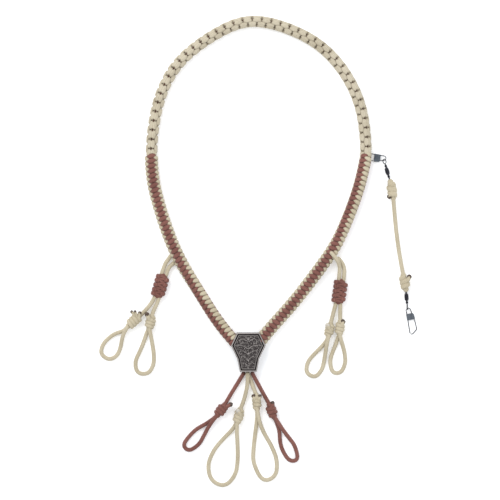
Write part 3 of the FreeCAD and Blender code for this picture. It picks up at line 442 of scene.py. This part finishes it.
def neck_braid():
    """Crown sinnet: four columns of long folds round a brown core, each column half a fold behind its neighbours."""
    P, length = spline_points(control("NECK"), 0.0005)
    T0, side0 = base_frame(P)
    marks_s = np.array([-60.0, 7.0, 190.0, 372.20, 460.0]) * MM
    marks_k = np.array([-60.0 / 9.35 - 7.0 / 9.35, 0.0, 19.572, 39.000, 48.756])
    roll_s = np.array([0.0, 90.0, 190.0, 300.0, 383.0]) * MM
    roll_v = np.radians([-9.0, -12.0, -39.0, -35.0, -27.0])
    b = Build()
    total = int(marks_k[-1])
    rng = np.random.default_rng(7)
    sides = 28
    th = np.linspace(0, 2 * math.pi, sides, endpoint=False)
    c, sn = np.cos(th), np.sin(th)
    across = np.sign(c) * np.abs(c) ** 0.7
    lift = np.sign(sn) * np.abs(sn) ** 0.75
    t = np.r_[-1.0, -0.985, -0.95, np.linspace(-0.9, 0.9, 21), 0.95, 0.985, 1.0]
    for column in range(4):
        half = 0.5 * (column % 2)
        for k in range(-2, total + 2):
            s_lo, s_mid, s_hi = np.interp([k + half, k + 0.5 + half, k + 1 + half], marks_k, marks_s)
            if s_lo < -5 * MM or s_hi > length + 5 * MM:
                continue
            pitch = s_hi - s_lo
            e = np.abs(t)
            knee = np.clip((e - 0.66) / 0.34, 0, 1)
            k_end = np.sqrt(np.clip(1 - knee ** 2, 0, 1))
            size = 1 + rng.normal(0, 0.02)
            half_angle = np.radians(52.0 - 13.0 * e ** 1.6) * (0.55 + 0.45 * k_end) * size
            thick = (0.25 + 1.1 * k_end) * MM
            r_c = (4.1 - 1.55 * (1 - k_end) - 0.12 * e) * MM
            groove = 0.1 + 0.6 * np.clip((e - 0.5) / 0.45, 0, 1)
            s = s_mid + t * pitch * 0.5 * 0.975
            tilt = rng.normal(0, 0.03)
            rows = []
            for i in range(len(t)):
                phi = half_angle[i] * across
                g = groove[i] * np.exp(-(across / 0.3) ** 2)
                rho = r_c[i] + thick[i] * lift * np.where(lift > 0, 1 - g, 1.0)
                notch = -np.sign(t[i]) * 1.75 * MM * np.exp(-(across / 0.36) ** 2) * np.clip((e[i] - 0.55) / 0.45, 0, 1) ** 1.5
                ss = s[i] + notch + tilt * across * 3 * MM
                s_c = np.clip(ss, 0.1 * MM, length - 0.1 * MM)
                C = along(P, length, s_c) + (ss - s_c)[:, None] * along(T0, length, s_c)
                sd = unit(along(side0, length, s_c))
                roll = np.interp(s_c, roll_s, roll_v) + column * math.pi / 2 + phi
                rows.append(ring_point(C, sd, roll, rho, 1.1))
            # painted shade: darker colour painted along each fold's sides and at its tucked ends, where the folds meet
            side_shade = 0.5 * np.abs(across)[None, :] ** 9
            end_shade = (0.55 * np.clip((e - 0.93) / 0.07, 0, 1) + 0.35 * np.clip((e - 0.8) / 0.2, 0, 1))[:, None] * np.exp(-(across / 0.5) ** 2)[None, :]
            b.loft(np.array(rows), v0=float(rng.uniform(0, 9)), painted_shade=np.clip(side_shade + end_shade, 0, 1))
    braid = b.obj("neck_braid_folds", [TAN_NECK])
    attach(braid, "neck_loop")
    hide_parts("neck_braid")
    core = Build().tube(P[::6], 3.1 * MM, sides=18).obj("neck_core_cord", [CORE])
    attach(core, "neck_loop")
    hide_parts("neck_core")
    return length


def nearest_on_line(co, P):
    from mathutils.kdtree import KDTree
    tree = KDTree(len(P))
    for i, p in enumerate(P):
        tree.insert(p, i)
    tree.balance()
    return np.array([tree.find(c)[1] for c in co])


def leg_braid(name, key, roll_s, roll_v, phase):
    """Round braid of two brown and two tan strands over a core. Each strand is widest where it lies on top, and narrow where it dives."""
    P, length = spline_points(control(key), 0.0005)
    T0, side0 = base_frame(P)
    lay = 9.8 * MM
    first, stop = -4.0 * MM, length - 1.0 * MM
    n = int((stop - first) / lay * 48)
    s = np.linspace(first, stop, n)
    s_c = np.clip(s, 0.1 * MM, length)
    roll = np.interp(s, np.array(roll_s) * MM, np.radians(roll_v))
    C = along(P, length, s_c) + (s - s_c)[:, None] * along(T0, length, s_c)
    sd = unit(along(side0, length, s_c))
    enter = np.clip((s - first) / (5.5 * MM), 0, 1) ** 0.8
    for colour, material in (("brown", BROWN), ("tan", TAN)):
        b = Build()
        for i in range(2):
            turn = 2 * math.pi * (s / lay + phase)
            if colour == "brown":
                rel = turn + i * math.pi
                over = np.cos(2 * rel)
                rel2 = rel + 0.12 * np.sin(2 * rel)
            else:
                rel = -turn + i * math.pi
                over = -np.cos(2 * rel)
                rel2 = rel - 0.12 * np.sin(2 * rel)
            dive = 1.5 if colour == "brown" else 1.9
            r = (4.1 + np.where(over > 0, 0.95, dive) * over) * MM
            r = np.where(enter < 1, 2.6 * MM + (r - 2.6 * MM) * enter, r)
            phi = roll + rel2
            Q = ring_point(C, sd, phi, r)
            radial = np.cos(phi)[:, None] * UP + np.sin(phi)[:, None] * sd
            TT = tangents(Q)
            wdir = unit(np.cross(TT, radial))
            tdir = unit(np.cross(wdir, TT))
            up = (1 + over) / 2
            wide = np.maximum(0.8, 1.42 + 1.08 * over) * MM
            thick = (1.05 + 0.62 * up) * MM
            # painted shade: a darker colour painted where a strand dives under the others, and along its sides
            b.tube(Q, wide, thick, wdir, tdir, sides=16, power=0.95, painted_shade=np.clip((0.2 - over) / 0.7, 0, 1) * (0.9 if colour == "brown" else 0.55))
        o = b.obj("%s_%s_strands" % (name, colour), [material])
        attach(o, "neck_loop")
    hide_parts(name + "_braid")
    inner = Build().tube(P[::5], 3.5 * MM, sides=18).obj(name + "_core_cord", [CORE_LEG])
    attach(inner, "neck_loop")
    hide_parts(name + "_core")
    return length


# ------------------------------------------------------------------ plain cords
LENGTHS = {}


def cord(name, key, body, material, far_end, exit=None, with_pieces=(), extra=(), stretch=(0.0, 0.0)):
    P, length = spline_points(control(key), 0.0007)
    T = tangents(P)
    Q = P
    if stretch[0]:
        Q = np.vstack([P[0] - T[0] * stretch[0], Q])
    if stretch[1]:
        Q = np.vstack([Q, P[-1] + T[-1] * stretch[1]])
    b = Build().tube(Q, 2.0 * MM, sides=16, ends=("round", "round"))
    o = b.obj(name + "_cord", [material])
    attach(o, body)
    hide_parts(name)
    LENGTHS[name] = length
    return o


def lerp(a, b, t):
    return a + (b - a) * t


def knot(name, body, a, b_, radius, material, turns=3.25, start=0.0, tags=(), hand=1.0, seed=0, swell=0.1, tilt=0.0):
    """Barrel knot: the cord's own end wound round it, with the standing parts running through and the cut end showing."""
    a, b_ = np.array(a) * MM, np.array(b_) * MM
    d = b_ - a
    L = np.linalg.norm(d)
    ax = d / L
    side = unit(np.cross(ax, UP))
    top = np.cross(side, ax)
    rng = np.random.default_rng(seed)
    w = L / (turns + 0.75) / 2
    th = 1.75 * MM
    n = int(turns * 30)
    t = np.linspace(0, 1, n)
    phi = start + hand * 2 * math.pi * turns * t
    z = lerp(w * 0.95, L - w * 0.95, t)
    shape = 1 + swell * (0.35 - (2 * z / L - 1) ** 2) * 0.6
    wob = 1 + 0.02 * np.sin(phi * 0.7 + seed) + 0.015 * np.sin(phi * 1.9 + seed * 2)
    r = (radius * MM - th) * shape * wob
    # both ends tuck in under the wraps
    tuck = np.clip(t * turns / 0.35, 0, 1) * np.clip((1 - t) * turns / 0.35, 0, 1)
    r = lerp(1.6 * MM, r, tuck ** 0.7)
    lean = tilt * MM * np.sin(phi)
    Q = a + ax * (z + lean)[:, None] + side * (np.cos(phi) * r)[:, None] + top * (np.sin(phi) * r)[:, None]
    radial = side * np.cos(phi)[:, None] + top * np.sin(phi)[:, None]
    TT = tangents(Q)
    wdir = unit(np.cross(TT, radial))
    tdir = unit(np.cross(wdir, TT))
    build = Build()
    build.tube(Q, w * 1.06, th, wdir, tdir, sides=14, power=0.85)
    core = np.stack([a + ax * x for x in np.linspace(0.6 * MM, L - 0.6 * MM, 8)])
    build.tube(core, 2.9 * MM, 2.6 * MM, sides=12)
    tips = []
    for pts, rad, tip in tags:
        p = np.array(pts) * MM
        q, _ = spline_points([tuple(x) for x in p], 0.0005)
        build.tube(q, rad * MM, sides=12)
        tips.append((q, rad, tip))
    o = build.obj(name + "_wraps", [material])
    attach(o, body)
    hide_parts(name)
    for i, (q, rad, tip) in enumerate(tips):
        e = melted_end("%s_end%d" % (name, i + 1), q, rad, tip, seed + i)
        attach(e, body)
    return o


def melted_end(name, q, rad, material, seed):
    """The cut end of the cord, melted into a lumpy bead."""
    T = tangents(q)
    c = q[-1]
    rng = np.random.default_rng(seed + 40)
    n, m = 14, 18
    A, B, _ = carried(q)
    A, B, W = A[-1], B[-1], T[-1]
    verts, faces = [], []
    ph = rng.uniform(0, 6, 6)
    for i in range(n + 1):
        th = math.pi * i / n
        for j in range(m):
            p = 2 * math.pi * j / m
            k = 1 + 0.09 * math.sin(3 * p + ph[0]) * math.sin(th) + 0.07 * math.sin(2 * p + ph[1] + 2 * th) + 0.06 * math.sin(5 * p + ph[2])* math.sin(th) ** 2
            r = rad * MM * 1.17 * k
            verts.append(c + (A * math.cos(p) + B * math.sin(p)) * math.sin(th) * r + W * math.cos(th) * r * 1.12)
    for i in range(n):
        for j in range(m):
            faces.append((i * m + j, (i + 1) * m + j, (i + 1) * m + (j + 1) % m, i * m + (j + 1) % m))
    return new_object(name, verts, faces, None, material)


def sleeve(name, body, top, bottom, seed, lead=1):
    """Cobra stitch over two cords: bars across the front and back, and a puffed turn of cord at each edge between them."""
    top, bottom = np.array(top) * MM, np.array(bottom) * MM
    d = bottom - top
    L = np.linalg.norm(d)
    ax = d / L
    side = unit(np.cross(ax, UP))
    rng = np.random.default_rng(seed)
    build = Build()

    def strand(pts, wide, thick, v0):
        """pts in mm: along, across, up"""
        q, _ = spline_points([tuple(p) for p in (np.array(pts) * MM)], 0.0004)
        Q = top + ax * q[:, :1] + side * q[:, 1:2] + UP * q[:, 2:3]
        mid = top + ax * q[:, :1] + side * np.clip(q[:, 1:2], -3.2 * MM, 3.2 * MM)
        radial = unit(Q - mid)
        TT = tangents(Q)
        wdir = unit(np.cross(TT, radial))
        tdir = unit(np.cross(wdir, TT))
        build.tube(Q, wide * MM, thick * MM, wdir, tdir, sides=12, power=0.9, v0=v0)

    Lm = L / MM
    rows = 9
    pitch = (Lm - 3.2) / (rows - 1)
    for i in range(rows):
        z = 1.6 + pitch * i
        lean = (0.55 if i % 2 else -0.55) * lead + rng.normal(0, 0.1)
        for face in (1, -1):
            h = face * (3.75 + rng.normal(0, 0.08))
            strand([(z - lean * 1.3, -3.9, h * 0.5), (z - lean, -3.0, h * 0.9), (z - lean * 0.4, -1.0, h), (z + lean * 0.4, 1.0, h), (z + lean, 3.0, h * 0.9), (z + lean * 1.3, 3.9, h * 0.5)],
                   1.28 + rng.normal(0, 0.04), 1.3, float(i * 5))
        sgn = lead if i % 2 == 0 else -lead
        zz = min(max(z + rng.normal(0, 0.12), 2.1), Lm - 2.1)
        out = 5.35 + rng.normal(0, 0.1)
        strand([(zz, sgn * 2.4, 1.2), (zz, sgn * 3.2, 3.7), (zz, sgn * 5.1, 4.05), (zz, sgn * (out + 0.35), 1.6), (zz, sgn * (out + 0.35), -1.6), (zz, sgn * 5.1, -4.0), (zz, sgn * 3.2, -3.7), (zz, sgn * 2.4, -1.2)],
               2.28, 1.6, float(i * 7 + sgn))
    filler = np.stack([top + ax * x * MM for x in np.linspace(0.9, Lm - 0.9, 12)])
    build.tube(filler, 4.6 * MM, 3.0 * MM, np.tile(side, (12, 1)), np.tile(UP, (12, 1)), sides=16)
    o = build.obj(name + "_stitched", [BROWN])
    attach(o, body)
    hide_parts(name)
    return o


# ------------------------------------------------------------------ build the braids and cords
neck_len = neck_braid()
left_len = leg_braid("left_leg", "LEFT_LEG", [0, 95, 150, 210], [0, 3, 45, 48], 0.0)
right_len = leg_braid("right_leg", "RIGHT_LEG", [0, 70, 110, 218], [46, 40, 4, -3], 0.1)
# bottom drops: from under the slide, through the barrel knot and round the loop, back to the knot


def drop(name, keys, body, material, axis, radius, tags, seed, turns=3.25, hand=1.0, start=0.0, swell=0.1, tilt=0.0):
    """One cord: its stem, hidden by the knot for a few millimetres, then its loop."""
    stem, loop = ROUTES[keys[0]], ROUTES[keys[1]]
    pts = stem + loop
    ROUTES[name] = pts
    k = knot(name + "_knot", body, axis[0], axis[1], radius, material, turns=turns, start=start, tags=tags, hand=hand, seed=seed, swell=swell, tilt=tilt)
    P, length = spline_points(control(name), 0.0006)
    b = Build().tube(P, 2.0 * MM, sides=16)
    o = b.obj(name + "_cord", [material])
    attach(o, body)
    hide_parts(name + "_stem", name + "_loop")
    LENGTHS[name] = length
    return o


drop("brown_left", ("BROWN_LEFT_STEM", "BROWN_LEFT_LOOP"), "brown_left_drop", BROWN, ((-32.95, -210.90, 5.10), (-41.15, -222.50, 5.10)), 5.10, [([(-34.15, -215.70, 7.00), (-31.65, -213.30, 8.40), (-29.15, -211.90, 8.20), (-27.55, -211.10, 7.20)], 1.90, MELT)], 1, turns=3.25, hand=1, start=0.50, swell=0.35, tilt=0.00)
drop("tan_left", ("TAN_LEFT_STEM", "TAN_LEFT_LOOP"), "tan_left_drop", TAN, ((-17.65, -215.30, 5.10), (-21.35, -230.10, 5.10)), 5.10, [([(-16.95, -222.70, 8.20), (-17.95, -220.30, 9.90), (-19.25, -218.30, 10.40), (-19.95, -217.30, 10.00)], 1.90, MELT_PAINTED_HIGHLIGHT)], 2, turns=3.25, hand=1, start=2.00, swell=0.10, tilt=0.00)
drop("tan_right", ("TAN_RIGHT_STEM", "TAN_RIGHT_LOOP"), "tan_right_drop", TAN, ((-1.85, -201.50, 5.10), (-0.95, -216.50, 5.10)), 4.60, [([(-2.75, -207.70, 7.40), (-3.55, -205.90, 8.40), (-4.25, -204.10, 8.00), (-4.55, -202.90, 7.00)], 1.80, MELT), ([(0.05, -207.70, 7.40), (0.85, -206.10, 8.40), (1.35, -204.30, 8.00), (1.65, -202.90, 7.00)], 1.70, MELT)], 3, turns=3.25, hand=1, start=0.00, swell=0.10, tilt=0.00)
drop("brown_right", ("BROWN_RIGHT_STEM", "BROWN_RIGHT_LOOP"), "brown_right_drop", BROWN, ((10.85, -210.30, 5.10), (16.25, -224.30, 5.10)), 5.10, [([(12.45, -215.70, 7.40), (13.15, -213.30, 8.60), (13.85, -211.30, 8.20), (14.25, -209.70, 7.20)], 1.90, MELT)], 4, turns=3.25, hand=1, start=1.40, swell=0.35, tilt=0.00)
drop("left_outer", ("LEFT_OUTER_STEM", "LEFT_OUTER_LOOP"), "left_outer_branch", TAN, ((-118.55, -122.30, 5.10), (-130.15, -133.10, 5.10)), 5.40, [([(-121.65, -124.70, 7.40), (-123.55, -122.10, 8.80), (-124.95, -119.90, 8.40), (-126.15, -118.50, 7.60)], 1.30, MELT), ([(-120.55, -125.10, 7.80), (-121.55, -122.30, 9.20), (-122.15, -120.10, 9.20), (-122.75, -118.30, 8.60)], 1.20, MELT), ([(-118.75, -125.30, 7.60), (-118.55, -122.90, 9.00), (-118.55, -121.10, 9.00), (-118.15, -119.50, 8.40)], 1.30, MELT)], 5, turns=3.60, hand=1, start=0.90, swell=0.10, tilt=0.00)
drop("left_inner", ("LEFT_INNER_STEM", "LEFT_INNER_LOOP"), "left_inner_branch", TAN, ((-106.15, -122.30, 5.10), (-109.05, -135.70, 5.10)), 5.10, [([(-107.55, -127.70, 7.60), (-108.75, -125.30, 9.20), (-110.15, -122.70, 9.20), (-110.75, -121.30, 8.60)], 2.00, MELT)], 6, turns=3.25, hand=1, start=2.60, swell=0.35, tilt=0.00)
drop("right_inner", ("RIGHT_INNER_STEM", "RIGHT_INNER_LOOP"), "right_inner_branch", TAN, ((72.45, -130.30, 5.00), (70.15, -143.10, 5.00)), 4.80, [([(72.05, -137.70, 7.80), (71.05, -135.30, 9.40), (70.05, -133.10, 9.80), (69.45, -131.90, 9.40)], 1.90, MELT_PAINTED_HIGHLIGHT)], 7, turns=3.25, hand=1, start=0.40, swell=0.10, tilt=0.00)
drop("right_outer", ("RIGHT_OUTER_STEM", "RIGHT_OUTER_LOOP"), "right_outer_branch", TAN, ((82.35, -127.30, 5.00), (81.15, -141.60, 5.00)), 4.80, [([(83.25, -132.70, 7.40), (83.85, -131.10, 8.40), (84.45, -129.50, 8.00), (84.85, -128.30, 7.20)], 1.90, MELT)], 8, turns=3.25, hand=1, start=1.80, swell=0.10, tilt=0.00)

# the cords that come out of the legs, and the sleeves over them
for _n, _k, _b, _m in (("left_drop_outer_cord", "LEFT_DROP_OUTER", "left_pair", TAN), ("left_drop_inner_cord", "LEFT_DROP_INNER", "left_pair", TAN),
                       ("right_drop_inner_cord", "RIGHT_DROP_INNER", "right_pair", TAN), ("right_drop_outer_cord", "RIGHT_DROP_OUTER", "right_pair", TAN)):
    P, length = spline_points(control(_k), 0.0007)
    o = Build().tube(P, 2.0 * MM, sides=16).obj(_n + "_line", [_m])
    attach(o, _b)
    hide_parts(_n)

sleeve("left_sleeve", "left_sleeve_body", (-94.85, -82.10, 5.20), (-100.85, -103.00, 5.20), 3)
sleeve("right_sleeve", "right_sleeve_body", (82.95, -87.40, 5.20), (79.85, -109.20, 5.20), 5)

# the clip line
_up = knot("upper_clip_knot", "clip_line", (132.05, 12.30, 5.10), (135.25, -5.10, 5.10), 5.0, TAN, turns=2.6, start=0.4, tags=[([(133.45, 2.30, 7.00), (132.45, 0.30, 8.20), (131.65, -1.70, 8.00), (131.05, -3.30, 7.00)], 1.90, MELT)], seed=21, swell=0.1)
_low = knot("lower_clip_knot", "clip_line", (145.05, -81.50, 5.10), (147.85, -96.70, 5.10), 5.0, TAN, turns=2.6, start=2.0, tags=[([(148.45, -88.70, 7.00), (149.65, -86.70, 8.20), (150.55, -84.90, 8.00), (151.05, -83.50, 7.00)], 1.90, MELT)], seed=22, hand=-1.0, swell=0.1)
P, length = spline_points(control("CLIP_CORD"), 0.0007)
o = Build().tube(P, 2.0 * MM, sides=16).obj("clip_cord_line", [TAN])
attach(o, "clip_line")
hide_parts("clip_cord")

# ------------------------------------------------------------------ carried-over CAD nodes
def material_of(node, material):
    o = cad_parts[node]
    for s in o.material_slots:
        s.material = material
    if not o.material_slots:
        o.data.materials.append(material)
    return o


for node, m in (("upper_snap_wire", BLACK_NICKEL), ("upper_snap_plate", SATIN_GREY), ("upper_snap_eye", BLACK_NICKEL),
                ("upper_barrel", BLACK_NICKEL), ("upper_cord_eye", BLACK_NICKEL), ("lower_cord_eye", BLACK_NICKEL),
                ("lower_barrel", BLACK_NICKEL), ("lower_snap_eye", BLACK_NICKEL), ("lower_snap_wire", BLACK_NICKEL),
                ("lower_snap_plate", SATIN_GREY), ("lower_snap_gate", BLACK_NICKEL), ("slide_shell", PEWTER)):
    material_of(node, m)
# inside cords: the ends inside the slide
for node in ("slide_cords",):
    material_of(node, CORE_PLAIN)

# ------------------------------------------------------------------ the slide's cast face
OUT = [(-21.15, -139.2), (1.45, -139.2), (7.45, -152.0), (1.15, -165.4), (-1.35, -178.1), (-18.35, -178.1), (-20.85, -165.4), (-27.15, -152.0)]


def slide_face():
    from mathutils import noise, Vector
    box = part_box("slide_face")
    z_top, z_low = box[1][2], box[0][2]
    pts = np.array(OUT)
    step = 0.16
    x0, x1, y0, y1 = pts[:, 0].min(), pts[:, 0].max(), pts[:, 1].min(), pts[:, 1].max()
    n = len(pts)

    def edge_distance(X, Y):
        best = np.full(X.shape, 1e9)
        for i in range(n):
            a, b = pts[i], pts[(i + 1) % n]
            d = b - a
            L = np.hypot(*d)
            # outline runs clockwise: the inside is to the right
            dist = -((X - a[0]) * (-d[1]) + (Y - a[1]) * d[0]) / L
            t = np.clip(((X - a[0]) * d[0] + (Y - a[1]) * d[1]) / L ** 2, 0, 1)
            far = np.hypot(X - a[0] - t * d[0], Y - a[1] - t * d[1])
            best = np.minimum(best, far)
        return best

    def inside(X, Y):
        c = np.zeros(X.shape, bool)
        for i in range(n):
            a, b = pts[i], pts[(i + 1) % n]
            hit = ((a[1] > Y) != (b[1] > Y)) & (X < (b[0] - a[0]) * (Y - a[1]) / (b[1] - a[1] + 1e-12) + a[0])
            c ^= hit
        return c

    def bead(d, w):
        return np.sqrt(np.clip(1 - (d / w) ** 2, 0, 1))

    def curve(p, w, h, X, Y, H, taper=True):
        p = np.array(p, float)
        q, _ = spline_points([(a[0] * MM, a[1] * MM, 0) for a in p], 0.0002)
        q = q[:, :2] / MM
        m = len(q)
        for k in range(m):
            t = k / (m - 1)
            ww = w * (1 - 0.55 * t if taper else 1)
            sel = (np.abs(X - q[k, 0]) < ww) & (np.abs(Y - q[k, 1]) < ww)
            if sel.any():
                d = np.hypot(X[sel] - q[k, 0], Y[sel] - q[k, 1])
                H[sel] = np.maximum(H[sel], h * bead(d, ww))

    # grid of the panel in polar-like rows: rings of the outline scaled inwards, so the edge is exact
    centre = np.array([-9.85, -154.5])
    per = []
    lens = [np.hypot(*(pts[(i + 1) % n] - pts[i])) for i in range(n)]
    for i in range(n):
        m = max(2, int(lens[i] / step))
        for k in range(m):
            per.append(pts[i] + (pts[(i + 1) % n] - pts[i]) * k / m)
    per = np.array(per)
    M = len(per)
    rings = 110
    f = np.linspace(1, 0, rings + 1)[:-1]
    X = centre[0] + (per[:, 0] - centre[0])[None, :] * f[:, None]
    Y = centre[1] + (per[:, 1] - centre[1])[None, :] * f[:, None]
    D = edge_distance(X, Y)
    D[0] = 0
    # relief height in mm over the sunk field
    H = np.zeros(X.shape)
    cx = -9.85
    S = []
    # generic scrollwork: two facing scroll pairs, a lower leaf pair and a centre bud
    for sgn in (-1, 1):
        def mx(a):
            return [(cx + sgn * x, y) for x, y in a]
        S.append((mx([(1.0, -148.0), (3.6, -145.6), (6.6, -145.2), (8.6, -147.4), (7.8, -150.0), (5.4, -150.2), (4.8, -148.4), (6.2, -147.6)]), 0.85, 0.8))
        S.append((mx([(1.0, -155.0), (3.4, -152.6), (7.0, -151.8), (11.4, -151.0), (13.8, -153.0), (12.6, -155.6), (10.2, -155.2), (10.6, -153.6)]), 0.85, 0.8))
        S.append((mx([(0.8, -160.0), (3.6, -157.8), (7.0, -156.8), (9.2, -158.6), (8.4, -161.0), (6.4, -160.8), (6.4, -159.4)]), 0.8, 0.75))
        S.append((mx([(0.6, -166.0), (2.6, -163.6), (5.4, -162.8), (7.4, -164.4), (6.6, -166.6), (4.8, -166.2)]), 0.75, 0.7))
        S.append((mx([(0.6, -172.0), (2.6, -169.6), (5.0, -169.0), (6.6, -170.8), (5.8, -172.8), (4.4, -172.2)]), 0.7, 0.65))
        S.append((mx([(10.4, -148.2), (11.6, -146.8), (12.6, -148.6), (12.0, -150.0)]), 0.6, 0.55))
        S.append((mx([(3.0, -143.2), (5.2, -142.4), (7.6, -142.8), (9.0, -144.2)]), 0.55, 0.5))
    S.append(([(cx, -150.0), (cx, -154.0), (cx, -158.0), (cx, -163.0), (cx, -168.0), (cx, -173.5)], 0.6, 0.7))
    grow0 = np.random.default_rng(5)
    for p, w, h in S:
        curve([(q[0] + grow0.uniform(-0.35, 0.35), q[1] + grow0.uniform(-0.35, 0.35)) for q in p], w * 0.72, h, X, Y, H)
    # small curled leaves between the scrolls
    grow = np.random.default_rng(11)
    for gx in np.arange(-26.0, 8.0, 1.8):
        for gy in np.arange(-177.0, -140.0, 1.8):
            px, py = gx + grow.uniform(-0.8, 0.8), gy + grow.uniform(-0.8, 0.8)
            turn, size, spin = grow.uniform(0, 6.28), grow.uniform(0.8, 1.35), grow.choice([-1, 1])
            if not inside(np.array([px]), np.array([py]))[0]:
                continue
            leaf = [(px + size * (1 - 0.16 * q) * math.cos(turn + spin * q * 0.75), py + size * (1 - 0.16 * q) * math.sin(turn + spin * q * 0.75)) for q in range(5)]
            curve(leaf, grow.uniform(0.26, 0.42), grow.uniform(0.55, 0.95), X, Y, H)
    for bx, by, br in ((cx, -145.6, 1.5), (cx - 2.2, -143.6, 0.9), (cx + 2.2, -143.6, 0.9), (cx, -160.2, 1.0), (cx, -167.0, 0.9), (cx, -174.6, 0.9),
                       (cx - 3.6, -155.2, 0.8), (cx + 3.6, -155.2, 0.8), (cx - 14.4, -152.2, 0.9), (cx + 14.4, -152.2, 0.9)):
        d = np.hypot(X - bx, Y - by)
        H = np.maximum(H, 0.85 * bead(d, br))
    # lost-wax surface: small lumps
    V = np.array([[noise.noise(Vector((X[i, j] * 0.9, Y[i, j] * 0.9, 3.0))) for j in range(M)] for i in range(rings)])
    V2 = np.array([[noise.noise(Vector((X[i, j] * 0.42, Y[i, j] * 0.42, 9.0))) for j in range(M)] for i in range(rings)])
    H = H + 0.16 * V + 0.1 * V2
    # outer rim with a rounded crest, a groove inside it, and an inner ridge following the slanted walls
    rim = np.where(D < 1.35, 1.0 * bead(D - 0.75, 0.85), 0.0)
    groove = np.exp(-((D - 1.9) / 0.5) ** 2)
    ridge = 0.8 * bead(D - 2.85, 0.5)
    body = np.where(D < 1.5, 0, H) * np.clip((D - 3.2) / 0.5, 0, 1)
    H2 = np.maximum(np.maximum(rim, ridge), body) - 0.35 * groove
    base = z_top / MM - 1.25
    Z = base + H2
    Z[0] = z_top / MM - 0.95
    relief = np.clip((H2 + 0.35) / 1.3, 0, 1)
    verts = [(X[i, j] * MM, Y[i, j] * MM, min(Z[i, j] * MM, z_top)) for i in range(rings) for j in range(M)]
    rel = [relief[i, j] for i in range(rings) for j in range(M)]
    verts.append((centre[0] * MM, centre[1] * MM, base * MM + 0.0004))
    rel.append(0.5)
    top = len(verts)
    # the outer wall, down to the underside
    for zz in (z_top - 1.6 * MM, z_low):
        for j in range(M):
            verts.append((X[0, j] * MM, Y[0, j] * MM, zz))
            rel.append(0.45)
    low = len(verts)
    verts.append((centre[0] * MM, centre[1] * MM, z_low))
    rel.append(0.3)
    faces = []
    for i in range(rings - 1):
        for j in range(M):
            k = (j + 1) % M
            faces.append((i * M + j, (i + 1) * M + j, (i + 1) * M + k, i * M + k))
    for j in range(M):
        k = (j + 1) % M
        faces.append(((rings - 1) * M + j, top - 1, (rings - 1) * M + k))
        faces.append((j, k, top + k, top + j))
        faces.append((top + j, top + k, top + M + k, top + M + j))
        faces.append((top + M + j, top + M + k, low))
    o = new_object("slide_cast_face", verts, faces, None, PEWTER)
    at = o.data.attributes.new("relief", "FLOAT", "POINT")
    at.data.foreach_set("value", np.array(rel, dtype=np.float32))
    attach(o, "neck_loop")
    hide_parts("slide_face")
    o.data.validate()
    import bmesh
    bm = bmesh.new()
    bm.from_mesh(o.data)
    bmesh.ops.recalc_face_normals(bm, faces=bm.faces)
    bm.to_mesh(o.data)
    bm.free()
    return o


slide_face()

# ------------------------------------------------------------------ floor and light
floor_mesh = bpy.data.meshes.new("floor")
floor_mesh.from_pydata([(-3, -3, -0.00005), (3, -3, -0.00005), (3, 3, -0.00005), (-3, 3, -0.00005)], [], [(0, 1, 2, 3)])
floor = bpy.data.objects.new("floor", floor_mesh)
scene.collection.objects.link(floor)
fm = Nodes("floor_paper")
fm.link(fm.ramp(fm.noise(40.0, 2.0, 0.5), [(0.3, (0.93, 0.93, 0.93, 1)), (0.7, (0.96, 0.96, 0.96, 1))]), fm.bsdf.inputs["Base Color"])
fm.bsdf.inputs["Roughness"].default_value = 0.9
fm.bsdf.inputs["Emission Color"].default_value = (1.0, 1.0, 1.0, 1.0)
fm.bsdf.inputs["Emission Strength"].default_value = 0.22
fm.bsdf.inputs["Specular IOR Level"].default_value = 0.1
floor_mesh.materials.append(fm.mat)


def area(name, loc, size, power, target):
    from mathutils import Vector
    d = bpy.data.lights.new(name, "AREA")
    d.shape = "DISK"
    d.size = size
    d.energy = power
    o = bpy.data.objects.new(name, d)
    scene.collection.objects.link(o)
    o.location = loc
    o.rotation_euler = (Vector(target) - Vector(loc)).to_track_quat("-Z", "Y").to_euler()
    return o


area("key", (-0.7, 0.9, 1.5), 1.1, 17.0, (0, -0.05, 0))
area("fill", (0.9, -0.2, 1.3), 1.4, 5.0, (0, -0.05, 0))
world = bpy.data.worlds.new("studio")
scene.world = world
world.use_nodes = True
world.node_tree.nodes["Background"].inputs["Color"].default_value = (0.93, 0.96, 1.0, 1)
world.node_tree.nodes["Background"].inputs["Strength"].default_value = 0.85
